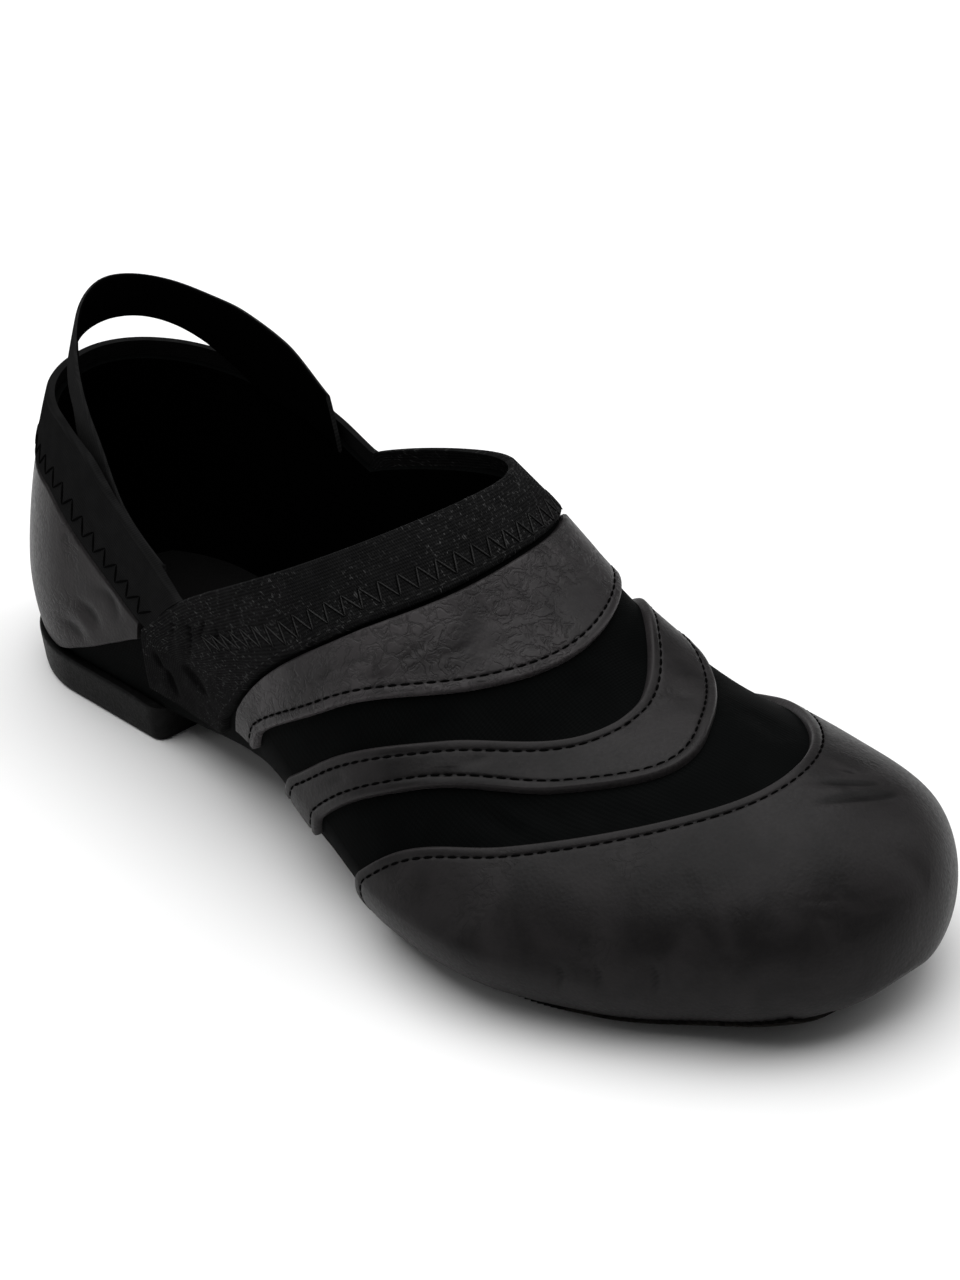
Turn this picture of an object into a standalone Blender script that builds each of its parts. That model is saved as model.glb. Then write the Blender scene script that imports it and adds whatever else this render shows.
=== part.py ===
"""Right jazz shoe: a slip-on dance shoe with a split sole, leather bands on stretch cloth and an elastic collar.

Units are metres and +Z is up. The toe points to -Y, and the wearer's right, the outer side of the foot, is -X.
Every piece of the upper is a wall between two offsets of one surface, the last. A place on the last is given
by a share of the length from the heel, a side, and a turn: -1 at the middle of the bottom, 0 at the widest
level and 1 at the ridge along the top.
"""

import math

import bmesh
import bpy
import numpy as np
from mathutils import Matrix, Vector

# Driving dimensions
LENGTH = 0.2425
BALL_WIDTH = 0.0936
HEEL_WIDTH = 0.0560
INSTEP_HEIGHT = 0.0794
BALL_HEIGHT = 0.0449
HEEL_LIFT = 0.0073
SIDE_LEVEL = 0.0160
TOE_TIP_LEVEL = 0.0150
BACK_LEAN = 0.0098
BACK_TUCK = 0.0019
BACK_HEIGHT = 0.0705
OUTER_SIDE_HEIGHT = 0.0432
INNER_SIDE_HEIGHT = 0.0572

# Walls and the gaps between them
CLOTH = 0.0014
LEATHER = 0.0012
ELASTIC = 0.0015
LOOP_TAPE = 0.0012
FOREFOOT_SOLE = 0.0020
INSOLE = 0.0016
FIT = 0.0003
CURVED_FIT = 0.0004
SEAM_FIT = 0.0006

# Collar and pull loop
ELASTIC_PROUD = 0.0040
LOOP_UPRIGHT = 0.50
LOOP_GAP = 0.0088
LOOP_LAP = 0.0040
LOOP_WIDTH = 0.0130
GUSSET_REAR = 0.0115
GUSSET_UNDER = 0.0070
GUSSET_FRONT = 0.0070

# Heel pad
PAD_WIDTH = 0.0555
PAD_LENGTH = 0.0590
PAD_SET_IN = 0.0012
PAD_FLARE = 0.0012
PAD_EDGE = 0.0010
PAD_CORNER = 0.0040

# Places along the last, as shares of its length
SIDE_SHARE = 0.295
THROAT_SHARE = 0.527
BALL_SHARE = 0.730
CAP_SHARE = 0.830
WAIST_START = 0.250
WAIST_END = 0.630
HEEL_ROUND = 0.130
TOE_ROUND = 0.280
TIP_ROUND = 0.098
LEAN_REACH = 0.350
LEAN_START = 0.73
TUCK_START = 0.978
TUCK_END = 0.990
HEEL_HOLE = (0.030, 0.200)
FOREFOOT_HOLE = (0.600, 0.930)
SOLE_SPAN = (0.575, 0.964)
INSOLE_SPAN = (0.028, 0.962)
END_ROUND = 0.020
REAR_ELASTIC_LOW = 0.241
REAR_ELASTIC_TOP = 0.289
COUNTER_LOW = 0.233
COUNTER_TOP = 0.235
LOOP_LOW_END = 0.262
LOOP_TOP_END = 0.252
LOOP_CLOSE = 0.170

OUTER = -1
INNER = 1

# Sections of the last. Centre, half width and ridge shift are shares of the ball width (of the heel width at
# the heel), the ridge is a share of the instep height, the lift of the heel's and the side of the side level.
# The two roundness numbers are the powers of the section's upper quarters. The feather is the share of the width
# that the flat bottom takes.
SECTION_COLUMNS = (
    "share", "centre", "half_width", "ridge", "lift", "side", "side_round", "ridge_round", "shift", "feather",
)
SECTIONS = (
    (0.00, -0.008, 0.293, 1.400, 1.000, 1.23, 2.40, 2.20, 0.000, 0.90),
    (0.12, -0.006, 0.293, 1.400, 1.000, 1.23, 2.40, 2.20, 0.000, 0.90),
    (WAIST_START, -0.006, 0.293, 1.350, 1.000, 1.29, 2.40, 2.20, 0.000, 0.90),
    (0.40, -0.025, 0.345, 1.202, 1.356, 1.12, 2.30, 2.10, 0.005, 0.72),
    (0.52, -0.041, 0.400, 1.000, 0.347, 1.06, 2.15, 2.00, 0.032, 0.66),
    (WAIST_END, -0.058, 0.464, 0.715, 0.000, 0.97, 1.95, 2.00, 0.062, 0.66),
    (BALL_SHARE, -0.027, 0.500, 0.567, 0.000, 0.88, 1.90, 2.00, 0.086, 0.66),
    (CAP_SHARE, 0.037, 0.487, 0.563, 0.060, 0.81, 1.90, 2.00, 0.096, 0.66),
    (0.92, 0.096, 0.483, 0.530, 0.452, 0.75, 1.95, 2.12, 0.104, 0.66),
    (1.00, 0.086, 0.466, 0.482, 0.964, 0.63, 1.95, 2.15, 0.104, 0.66),
)

# Lines that cross the forefoot, as shares of the length at the turns 0, 1/4, 1/2, 3/4 and 1 on each side. A wrap is
# a way round the section: 0 at the ridge, -1 and 1 at the widest level of the outer and the inner side.
LINE_WRAPS = (-1.0, -0.75, -0.5, -0.25, 0.0, 0.25, 0.5, 0.75, 1.0)
LINE_COLUMNS = ("line", "low", "outer_1", "outer_2", "outer_3", "ridge", "inner_3", "inner_2", "inner_1")
LINES = (
    ("elastic_front", 0.396, 0.467, 0.531, 0.566, 0.573, 0.558, 0.521, 0.476),
    ("throat_front", 0.435, 0.523, 0.594, 0.642, 0.651, 0.626, 0.582, 0.530),
    ("band_rear", 0.483, 0.565, 0.637, 0.703, 0.707, 0.657, 0.606, 0.558),
    ("band_front", 0.535, 0.609, 0.692, 0.784, 0.781, 0.731, 0.662, 0.602),
    ("cap_rear", 0.604, 0.673, 0.780, 0.851, 0.865, 0.837, 0.765, 0.682),
)

# Edges round the heel, at shares of the way to the collar's lowest place: the collar's top on each side, the
# elastic's and the counter's lower edge and the loop's top, as shares of the collar's height at the back.
HEEL_COLUMNS = ("way", "outer_top", "inner_top", "elastic_low", "counter_low", "outer_loop", "inner_loop")
HEEL_EDGES = (
    (0.00, 1.000, 1.000, 0.760, 0.152, 1.285, 1.285),
    (0.13, 1.000, 0.972, 0.762, 0.152, 1.235, 1.247),
    (0.30, 0.993, 0.944, 0.755, 0.152, 1.130, 1.200),
    (0.50, 0.932, 0.928, 0.640, 0.226, 0.960, 1.172),
    (0.67, 0.818, 0.916, 0.538, 0.318, 0.775, 1.130),
    (0.84, 0.712, 0.880, 0.440, 0.405, 0.670, 1.010),
    (1.00, 0.613, 0.811, 0.390, 0.430, 0.600, 0.900),
)

# Turns of a section below the widest level, down to the middle of the bottom
LOW_TURNS = (-0.13, -0.25, -0.36, -0.5, -0.75, -1.0)
GUSSET_LOW_TURN = -0.25
CAP_LOW_TURN = -0.36
SOLE_EDGE_TURN = -0.41
FEATHER_TURN = -0.5
INSOLE_EDGE_TURN = -0.54
HOLE_TURN = -0.75

# Powers of the rounded shapes
LOW_ROUND = 1.8
HEEL_POWER = 1.9
TOE_POWER = 2.24
TIP_POWER = 2.4
LEAN_POWER = 1.6
OUTER_COLLAR_POWER = 0.95
INNER_COLLAR_POWER = 0.90

# Divisions of the surfaces
HEEL_STATIONS = 12
CAP_STATIONS = 12
SIDE_RAILS = 4
CROWN_RAILS = 9


def slopes(xs, ys):
    """Slopes of a smooth curve through the rows that never overshoots them."""
    step = np.diff(xs)[:, None]
    rise = np.diff(ys, axis=0) / step
    out = np.zeros_like(ys)
    out[0] = rise[0]
    out[-1] = rise[-1]
    same = rise[:-1] * rise[1:] > 0
    weight_a = 2 * step[1:] + step[:-1]
    weight_b = step[1:] + 2 * step[:-1]
    safe_a = np.where(same, rise[:-1], 1.0)
    safe_b = np.where(same, rise[1:], 1.0)
    out[1:-1] = np.where(same, (weight_a + weight_b) / (weight_a / safe_a + weight_b / safe_b), 0.0)
    return out


def even_slopes(xs, ys):
    """Slopes of the evenly bent curve through rows with one spacing."""
    rise = np.diff(ys, axis=0) / np.diff(xs)[:, None]
    count = len(xs)
    weights = np.diag(np.full(count, 4.0)) + np.eye(count, k=1) + np.eye(count, k=-1)
    weights[0, 0] = 2.0
    weights[-1, -1] = 2.0
    sums = np.concatenate([rise[:1], rise[:-1] + rise[1:], rise[-1:]])
    return np.linalg.solve(weights, 3 * sums)


class Curve:
    """Smooth curve through the rows of a table whose first column is the position."""

    def __init__(self, rows, slope_rule=slopes):
        table = np.array(rows, float)
        self.xs = table[:, 0]
        self.ys = table[:, 1:]
        self.slopes = slope_rule(self.xs, self.ys)

    def __call__(self, x):
        x = np.clip(np.asarray(x, float), self.xs[0], self.xs[-1])
        k = np.clip(np.searchsorted(self.xs, x, side="right") - 1, 0, len(self.xs) - 2)
        h = (self.xs[k + 1] - self.xs[k])[..., None]
        t = (x - self.xs[k])[..., None] / h
        start = (1 + 2 * t) * (1 - t) ** 2 * self.ys[k] + t * (1 - t) ** 2 * h * self.slopes[k]
        end = t * t * (3 - 2 * t) * self.ys[k + 1] + t * t * (t - 1) * h * self.slopes[k + 1]
        return start + end


SECTION_CURVE = Curve(SECTIONS)
HEEL_CURVE = Curve(HEEL_EDGES)
HEEL_HALF = SECTIONS[0][SECTION_COLUMNS.index("half_width")]
BALL_RIDGE = float(SECTION_CURVE(BALL_SHARE)[SECTION_COLUMNS.index("ridge") - 1])


def rounding(distance, power):
    """Rise from 0 to 1 of a rounded end, over a distance of 1."""
    inside = 1 - np.clip(1 - np.clip(distance, 0, 1), 0, 1) ** power
    return np.clip(inside, 0, 1) ** (1 / power)


def smooth_step(x):
    t = np.clip(x, 0, 1)
    return t * t * (3 - 2 * t)


def tip_rise(share):
    """Rise from 0 at the very tip of the toe to 1 behind its rounded front."""
    return rounding((1 - share) / TIP_ROUND, TIP_POWER)


def levels(share):
    """Bottom, widest level and ridge of the last at a share of the length."""
    row = SECTION_CURVE(share)
    near_tip = tip_rise(share)
    bottom = FOREFOOT_SOLE + FIT + row[..., 3] * HEEL_LIFT
    widest = bottom + row[..., 4] * SIDE_LEVEL
    forward = smooth_step((share - THROAT_SHARE) / (CAP_SHARE - THROAT_SHARE))
    height = INSTEP_HEIGHT + (BALL_HEIGHT / BALL_RIDGE - INSTEP_HEIGHT) * forward
    ridge = row[..., 2] * height
    middle = TOE_TIP_LEVEL + (widest - TOE_TIP_LEVEL) * near_tip ** 0.5
    return middle - row[..., 4] * SIDE_LEVEL * near_tip, middle, middle + (ridge - widest) * near_tip


def last(share, side, turn):
    """Points of the last's surface."""
    share = np.asarray(share, float)
    turn = np.asarray(turn, float)
    row = SECTION_CURVE(share)
    bottom, widest, ridge = levels(share)
    heel_width = HEEL_WIDTH / (2 * HEEL_HALF)
    waist = smooth_step((share - WAIST_START) / (WAIST_END - WAIST_START))
    width = heel_width + (BALL_WIDTH - heel_width) * waist
    ends = rounding(share / HEEL_ROUND, HEEL_POWER) * rounding((1 - share) / TOE_ROUND, TOE_POWER)
    half = row[..., 1] * width * ends
    centre = row[..., 0] * BALL_WIDTH
    up = np.clip(turn, 0, 1) * math.pi / 2
    down = np.clip(turn / FEATHER_TURN, 0, 1) * math.pi / 2
    flat = np.clip((turn - FEATHER_TURN) / (-1 - FEATHER_TURN), 0, 1)
    crown = np.sin(up) ** (2 / row[..., 6])
    side_x = half * np.clip(np.cos(up), 0, 1) ** (2 / row[..., 5])
    low_x = half * (row[..., 8] + (1 - row[..., 8]) * np.clip(np.cos(down), 0, 1) ** (2 / LOW_ROUND))
    low_x = low_x * (1 - flat)
    low_z = widest + (bottom - widest) * np.sin(down) ** (2 / LOW_ROUND)
    above = turn >= 0
    x = centre + side * np.where(above, side_x, low_x)
    x = x + np.where(above, (row[..., 7] * BALL_WIDTH - centre) * crown * tip_rise(share), 0)
    z = np.where(above, widest + (ridge - widest) * crown, low_z)
    reach = np.clip(1 - share / LEAN_REACH, 0, 1) ** 1.5
    heel_floor = FOREFOOT_SOLE + FIT + HEEL_LIFT
    lean_from = heel_floor + SIDE_LEVEL * LEAN_START
    rise = np.clip((z - lean_from) / (BACK_HEIGHT - lean_from), 0, None)
    above_collar = 1 + LEAN_POWER * LOOP_UPRIGHT * (rise - 1)
    lean = BACK_LEAN * np.where(rise < 1, rise ** LEAN_POWER, above_collar)
    tuck = BACK_TUCK * np.clip((heel_floor + SIDE_LEVEL - z) / SIDE_LEVEL, 0, 1) ** 2
    y = LENGTH * (0.5 - share) - reach * (lean + tuck)
    return np.stack(np.broadcast_arrays(x, y, z), axis=-1)


def outward(share, side, turn):
    """Unit normals of the last's surface, pointing out."""
    tiny = 0.0008
    share = np.clip(np.asarray(share, float), tiny, 1 - tiny)
    turn = np.clip(np.asarray(turn, float), -1 + 0.002, 1 - 0.002)
    along = last(share + tiny / 2, side, turn) - last(share - tiny / 2, side, turn)
    around = last(share, side, turn + 0.002) - last(share, side, turn - 0.002)
    normal = np.cross(along, around) * -np.asarray(side, float)[..., None]
    return normal / np.maximum(np.linalg.norm(normal, axis=-1, keepdims=True), 1e-12)


def turn_at_height(share, height):
    """Turn at which a section reaches a height above its widest level."""
    row = SECTION_CURVE(share)
    bottom, widest, ridge = levels(share)
    rise = np.clip((height - widest) / (ridge - widest), 0, 1)
    above = np.arcsin(rise ** (row[..., 6] / 2)) / (math.pi / 2)
    drop = np.clip((widest - height) / (widest - bottom), 0, 1)
    below = np.arcsin(drop ** (LOW_ROUND / 2)) / (math.pi / 2) * FEATHER_TURN
    return np.where(height >= widest, above, below)


def heel_height(share, side, column):
    """Height of a named heel edge, which keeps to the side's own height at the collar's lowest place."""
    names = {
        "top": ("outer_top", "inner_top"),
        "low": ("elastic_low", "elastic_low"),
        "counter": ("counter_low", "counter_low"),
        "loop": ("outer_loop", "inner_loop"),
    }[column]
    index = HEEL_COLUMNS.index(names[0] if side == OUTER else names[1]) - 1
    way = np.asarray(share, float) / SIDE_SHARE
    value = HEEL_CURVE(way)[..., index] * BACK_HEIGHT
    end = HEEL_EDGES[-1][index + 1] * BACK_HEIGHT
    if column == "top":
        target = OUTER_SIDE_HEIGHT if side == OUTER else INNER_SIDE_HEIGHT
        value = value + (target - end) * smooth_step(way)
    return value


def collar_height(share, side, inset):
    """Height of the opening's edge, set down from the elastic's edge by an inset."""
    share = np.asarray(share, float)
    low = (OUTER_SIDE_HEIGHT if side == OUTER else INNER_SIDE_HEIGHT) - inset
    power = OUTER_COLLAR_POWER if side == OUTER else INNER_COLLAR_POWER
    throat = THROAT_SHARE + inset / LENGTH
    top = levels(np.array(throat))[2]
    along = np.clip((share - SIDE_SHARE) / (throat - SIDE_SHARE), 0, 1)
    front = low + (top - low) * along ** power
    return np.where(share < SIDE_SHARE, heel_height(share, side, "top") - inset, front)


def collar_share(turn, side, inset):
    """Share of the length where the front of the opening's edge has a turn."""
    shares = np.linspace(SIDE_SHARE, THROAT_SHARE + inset / LENGTH, 160)
    turns = turn_at_height(shares, collar_height(shares, side, inset))
    turns[-1] = 1.0
    return np.interp(turn, np.maximum.accumulate(turns), shares)


def line_curves():
    """For each line, the share of the length as a curve over the wrap."""
    curves = {}
    for name, low, *values in LINES:
        curves[name] = Curve(list(zip(LINE_WRAPS, [low, *values, low])), even_slopes)
    return curves


LINE_CURVES = line_curves()


def line_share(name, side, turn):
    """Share of the length of a named line at a turn, which goes straight down below the first low level."""
    turn = np.asarray(turn, float)
    if name == "tip":
        return np.ones_like(turn)
    if name == "edge":
        return collar_share(np.clip(turn, side_turn(side, ELASTIC_PROUD), 1), side, ELASTIC_PROUD)
    curve = LINE_CURVES[name]
    slope = curve.slopes[0 if side == OUTER else -1, 0]
    below = np.clip(-turn, 0, -LOW_TURNS[0])
    return curve(side * (1 - np.clip(turn, 0, 1)))[..., 0] + side * slope * below


def side_turn(side, inset):
    """Turn of the opening's edge at its lowest place, beside the ankle."""
    height = (OUTER_SIDE_HEIGHT if side == OUTER else INNER_SIDE_HEIGHT) - inset
    return float(turn_at_height(np.array(SIDE_SHARE), height))


def tuck_under(turn, share):
    """Turn of a low level, which reaches the middle of the bottom under the very tip of the toe."""
    low = CAP_LOW_TURN + (-1 - CAP_LOW_TURN) * smooth_step((share - TUCK_START) / (TUCK_END - TUCK_START))
    above = turn * low / CAP_LOW_TURN
    below = low + (turn - CAP_LOW_TURN) * (-1 - low) / (-1 - CAP_LOW_TURN)
    return np.where(turn >= CAP_LOW_TURN, above, below)


class Patch:
    """Faces on the last: a list of points with their normals, and triangles that face outwards."""

    def __init__(self):
        self.index = {}
        self.points = []
        self.normals = []
        self.faces = []

    def vertex(self, point, normal):
        key = tuple(np.round(point, 6))
        if key not in self.index:
            self.index[key] = len(self.points)
            self.points.append(point)
            self.normals.append(np.zeros(3))
        number = self.index[key]
        self.normals[number] = self.normals[number] + normal
        return number

    def add(self, share, side, turn, keep=None):
        """Grid of places: rows run to the toe, columns from the outer side over the top to the inner side."""
        points = last(share, side, turn)
        normals = outward(share, side, turn)
        rows, columns = share.shape
        numbers = np.zeros((rows, columns), int)
        for i in range(rows):
            for j in range(columns):
                numbers[i, j] = self.vertex(points[i, j], normals[i, j])
        for i in range(rows - 1):
            for j in range(columns - 1):
                if keep is not None and not keep(i, j):
                    continue
                a, b = numbers[i, j], numbers[i + 1, j]
                c, d = numbers[i + 1, j + 1], numbers[i, j + 1]
                for face in ((a, b, c), (a, c, d)):
                    if len(set(face)) == 3:
                        self.faces.append(face)

    def solid(self, name, inner, outer):
        """Closed wall between two offsets of the patch."""
        points = np.array(self.points)
        normals = np.array(self.normals)
        normals = normals / np.linalg.norm(normals, axis=1, keepdims=True)
        count = len(points)
        vertices = np.concatenate([points + normals * outer, points + normals * inner])
        used = set()
        for face in self.faces:
            for k, end in enumerate(face):
                used.add((face[k - 1], end))
        faces = [list(face) for face in self.faces]
        faces += [[n + count for n in reversed(face)] for face in self.faces]
        for start, end in used:
            if (end, start) not in used:
                faces.append([end, start, start + count, end + count])
        return make_object(name, vertices, faces)


def make_object(name, vertices, faces):
    """Object from points and faces, with loose points removed."""
    mesh = bpy.data.meshes.new(name)
    mesh.from_pydata([tuple(float(v) for v in p) for p in vertices], [], faces)
    shape = bmesh.new()
    shape.from_mesh(mesh)
    loose = [v for v in shape.verts if not v.link_faces]
    bmesh.ops.delete(shape, geom=loose, context="VERTS")
    shape.to_mesh(mesh)
    shape.free()
    mesh.shade_smooth()
    mesh.set_sharp_from_angle(angle=math.radians(40))
    made = bpy.data.objects.new(name, mesh)
    bpy.context.scene.collection.objects.link(made)
    return made


def heel_stations(count):
    """Fractions from the heel's back, close together where the heel is round."""
    return 1 - np.cos(np.linspace(0, math.pi / 2, count + 1))


def row_between(first, second, side, turns, fraction):
    """Shares of the length along a row that lies between two named lines."""
    start = line_share(first, side, turns)
    end = line_share(second, side, turns)
    return start + (end - start) * fraction


FOREFOOT_STEPS = (
    ("edge", "elastic_front", (0.0, 1 / 3, 2 / 3)),
    ("elastic_front", "throat_front", (0.0, 1 / 3, 2 / 3)),
    ("throat_front", "band_rear", (0.0, 0.5)),
    ("band_rear", "band_front", (0.0, 1 / 3, 2 / 3)),
    ("band_front", "cap_rear", (0.0, 0.5)),
    ("cap_rear", "tip", tuple(math.sin(math.pi / 2 * k / CAP_STATIONS) for k in range(CAP_STATIONS + 1))),
)


def ring_turns(side, crown):
    """Turns of one side of the upper's grid, from the middle of the bottom up."""
    start = side_turn(side, ELASTIC_PROUD)
    low = list(reversed(LOW_TURNS))
    wall = [start * k / SIDE_RAILS for k in range(SIDE_RAILS + 1)]
    top = [start + (1 - start) * k / CROWN_RAILS for k in range(1, CROWN_RAILS + 1)] if crown else []
    return np.array(low + wall + top)


def forefoot_rows(side, turns, steps):
    """Grid of shares and turns on one side, a row for each fraction of each step."""
    shares = []
    for first, second, fractions in steps:
        for fraction in fractions:
            shares.append(row_between(first, second, side, turns, fraction))
    share = np.array(shares)
    turn = np.broadcast_to(turns, share.shape)
    return share, np.where(turn < 0, tuck_under(turn, share), turn)


def join_sides(outer, inner):
    """Rows of the outer side upwards, then of the inner side downwards, meeting at the ridge."""
    share = np.concatenate([outer[0], inner[0][:, -2::-1]], axis=1)
    turn = np.concatenate([outer[1], inner[1][:, -2::-1]], axis=1)
    side = np.concatenate([np.full(outer[0].shape, OUTER), np.full(inner[0][:, 1:].shape, INNER)], axis=1)
    return share, side, turn


def build_upper():
    """Hollow stretch cloth body, open at the collar and under the forefoot sole and the heel pad."""
    patch = Patch()
    turns = {side: ring_turns(side, True) for side in (OUTER, INNER)}
    rows = {side: forefoot_rows(side, turns[side], FOREFOOT_STEPS) for side in (OUTER, INNER)}
    share, side, turn = join_sides(rows[OUTER], rows[INNER])
    last_column = share.shape[1] - 2

    def keep_forefoot(i, j):
        middle = j < 1 or j > last_column - 1
        return not (middle and FOREFOOT_HOLE[0] < share[i, 0] and share[i + 1, 0] < FOREFOOT_HOLE[1])

    patch.add(share, side, turn, keep_forefoot)
    stations = SIDE_SHARE * heel_stations(HEEL_STATIONS)
    for which in (OUTER, INNER):
        low = ring_turns(which, False)[: len(LOW_TURNS)]
        share_grid = np.repeat(stations[:, None], len(low) + SIDE_RAILS + 1, axis=1)
        top = turn_at_height(stations, collar_height(stations, which, ELASTIC_PROUD))
        wall = top[:, None] * np.linspace(0, 1, SIDE_RAILS + 1)[None, :]
        turn_grid = np.concatenate([np.repeat(low[None, :], len(stations), axis=0), wall], axis=1)
        if which == INNER:
            turn_grid = turn_grid[:, ::-1]
        edge = 0 if which == OUTER else share_grid.shape[1] - 2

        def keep_heel(i, j, edge=edge):
            return not (j == edge and HEEL_HOLE[0] < stations[i] and stations[i + 1] < HEEL_HOLE[1])

        patch.add(share_grid, np.full(share_grid.shape, which), turn_grid, keep_heel)
    return patch.solid("upper", -CLOTH, 0.0)


def crown_turns(side, low_turns):
    """Turns of one side of an overlay, from its lowest turn up to the ridge."""
    return np.concatenate([np.array(low_turns, float), ring_turns(side, True)[len(LOW_TURNS):]])


def trimmed(rows, first_gap, last_gap):
    """Rows of shares whose first and last rows are drawn in by a gap."""
    share, turn = rows
    share = share.copy()
    share[0] = share[0] + first_gap / LENGTH
    share[-1] = share[-1] - last_gap / LENGTH
    return share, turn


def build_band(name, first, second, pieces, rear_gap):
    """Leather band across the vamp, between two named lines and down to the first low level."""
    fractions = tuple(k / pieces for k in range(pieces + 1))
    steps = ((first, second, fractions),)
    sides = []
    for side in (OUTER, INNER):
        rows = forefoot_rows(side, crown_turns(side, LOW_TURNS[:1]), steps)
        sides.append(trimmed(rows, rear_gap, 0.0))
    patch = Patch()
    patch.add(*join_sides(*sides))
    return patch.solid(name, CURVED_FIT, CURVED_FIT + LEATHER)


def build_toe_cap():
    """Leather toe cap, down to the edge of the sole and closed under the tip."""
    steps = (FOREFOOT_STEPS[-1],)
    low = LOW_TURNS[2::-1]
    sides = [forefoot_rows(side, crown_turns(side, low), steps) for side in (OUTER, INNER)]
    patch = Patch()
    patch.add(*join_sides(*sides))
    return patch.solid("toe_cap", CURVED_FIT, CURVED_FIT + LEATHER)


def gusset_share(side, turn, rear):
    """Share of the length of the front elastic's end, which folds down to the sole below the collar."""
    under = np.clip(turn / GUSSET_LOW_TURN, 0, 1)
    if rear:
        bend = side_turn(side, 0.0)
        top = collar_share(np.clip(turn, bend, 1), side, 0.0)
        down = np.clip(1 - turn / bend, 0, 1)
        wall = SIDE_SHARE - (GUSSET_REAR * down - GUSSET_UNDER * under) / LENGTH
        return np.where(turn >= bend, top, wall)
    return line_share("elastic_front", side, turn) - GUSSET_FRONT / LENGTH * under


def build_collar_front():
    """Wide elastic round the front of the opening, its ends folded down to the sole."""
    sides = []
    for side in (OUTER, INNER):
        bend = side_turn(side, 0.0)
        low = np.array(LOW_TURNS[1::-1])
        wall = np.linspace(0, bend, SIDE_RAILS + 1)
        top = bend + (1 - bend) * (np.arange(1, CROWN_RAILS + 3) / (CROWN_RAILS + 2))
        turns = np.concatenate([low, wall, top])
        rear = gusset_share(side, turns, True)
        front = gusset_share(side, turns, False)
        share = np.array([rear + (front - rear) * k / 4 for k in range(5)])
        sides.append((share, np.broadcast_to(turns, share.shape)))
    patch = Patch()
    patch.add(*join_sides(*sides))
    return patch.solid("collar_front", CURVED_FIT, CURVED_FIT + ELASTIC)


def heel_grid(low_height, top_height, low_end, top_end, rails, stations):
    """Grid round the heel from the inner side's front end, past the back, to the outer side's front end."""
    fractions = np.linspace(0, 1, rails + 1)
    shares = []
    turns = []
    sides = []
    along = heel_stations(stations)
    for side, order in ((INNER, along[::-1]), (OUTER, along[1:])):
        for fraction in order:
            share = (low_end + (top_end - low_end) * fractions) * fraction
            low = low_height(share, side)
            top = top_height(share, side)
            shares.append(share)
            turns.append(turn_at_height(share, low + (top - low) * fractions))
            sides.append(np.full(rails + 1, side))
    return np.array(shares), np.array(sides), np.array(turns)


def build_collar_rear():
    """Elastic round the back of the opening."""
    patch = Patch()
    patch.add(*heel_grid(
        lambda share, side: heel_height(share, side, "low"),
        lambda share, side: collar_height(share, side, 0.0),
        REAR_ELASTIC_LOW, REAR_ELASTIC_TOP, 4, HEEL_STATIONS + 2))
    return patch.solid("collar_rear", CURVED_FIT, CURVED_FIT + ELASTIC)


def build_heel_counter():
    """Leather counter round the back of the heel, under the rear elastic."""
    patch = Patch()
    patch.add(*heel_grid(
        lambda share, side: heel_height(share, side, "counter"),
        lambda share, side: heel_height(share, side, "low") - SEAM_FIT,
        COUNTER_LOW, COUNTER_TOP, 5, HEEL_STATIONS + 2))
    return patch.solid("heel_counter", CURVED_FIT, CURVED_FIT + LEATHER)


def loop_low(share, side):
    """Lower edge of the loop: clear of the collar at the back, then lapped inside it."""
    collar = heel_height(share, side, "top")
    lapped = np.minimum(collar - LOOP_LAP, heel_height(share, side, "loop") - LOOP_WIDTH)
    free = collar + LOOP_GAP
    return free + (lapped - free) * smooth_step(share / LOOP_CLOSE)


def build_heel_loop():
    """Pull loop: an elastic tape inside the collar that stands clear of it at the back."""
    patch = Patch()
    patch.add(*heel_grid(
        loop_low,
        lambda share, side: heel_height(share, side, "loop"),
        LOOP_LOW_END, LOOP_TOP_END, 4, HEEL_STATIONS + 2))
    inner = -CLOTH - CURVED_FIT - LOOP_TAPE
    return patch.solid("heel_loop", inner, -CLOTH - CURVED_FIT)


def bottom_stations():
    """Shares of the length of the upper's rows across the bottom."""
    heel = SIDE_SHARE * heel_stations(HEEL_STATIONS)
    forefoot = forefoot_rows(OUTER, np.array([0.0]), FOREFOOT_STEPS)[0][:, 0]
    return np.concatenate([heel[:-1], forefoot])


def bottom_patch(span, edge_turn):
    """Grid across the bottom with rounded ends, from the inner side over the middle to the outer side."""
    turns = np.array([edge_turn] + [turn for turn in LOW_TURNS if turn < edge_turn - 0.01])
    across = np.abs(1 + turns) / (1 + edge_turn)
    first = span[0] + END_ROUND * across ** 2
    final = span[1] - END_ROUND * across ** 2
    share = np.clip(bottom_stations()[:, None], first, final)
    share = np.concatenate([share, share[:, -2::-1]], axis=1)
    turn = np.broadcast_to(np.concatenate([turns, turns[-2::-1]]), share.shape)
    side = np.where(np.arange(share.shape[1]) < len(turns), INNER, OUTER)
    return share, np.broadcast_to(side, share.shape), turn


def build_forefoot_sole():
    """Sole patch under the ball and toes, flat on the floor under the ball."""
    patch = Patch()
    patch.add(*bottom_patch(SOLE_SPAN, SOLE_EDGE_TURN))
    return patch.solid("forefoot_sole", FIT, FIT + FOREFOOT_SOLE)


def build_insole():
    """Thin insole on the floor of the upper, from heel to toe."""
    patch = Patch()
    patch.add(*bottom_patch(INSOLE_SPAN, INSOLE_EDGE_TURN))
    return patch.solid("insole", -CLOTH - FIT - INSOLE, -CLOTH - FIT)


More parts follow.
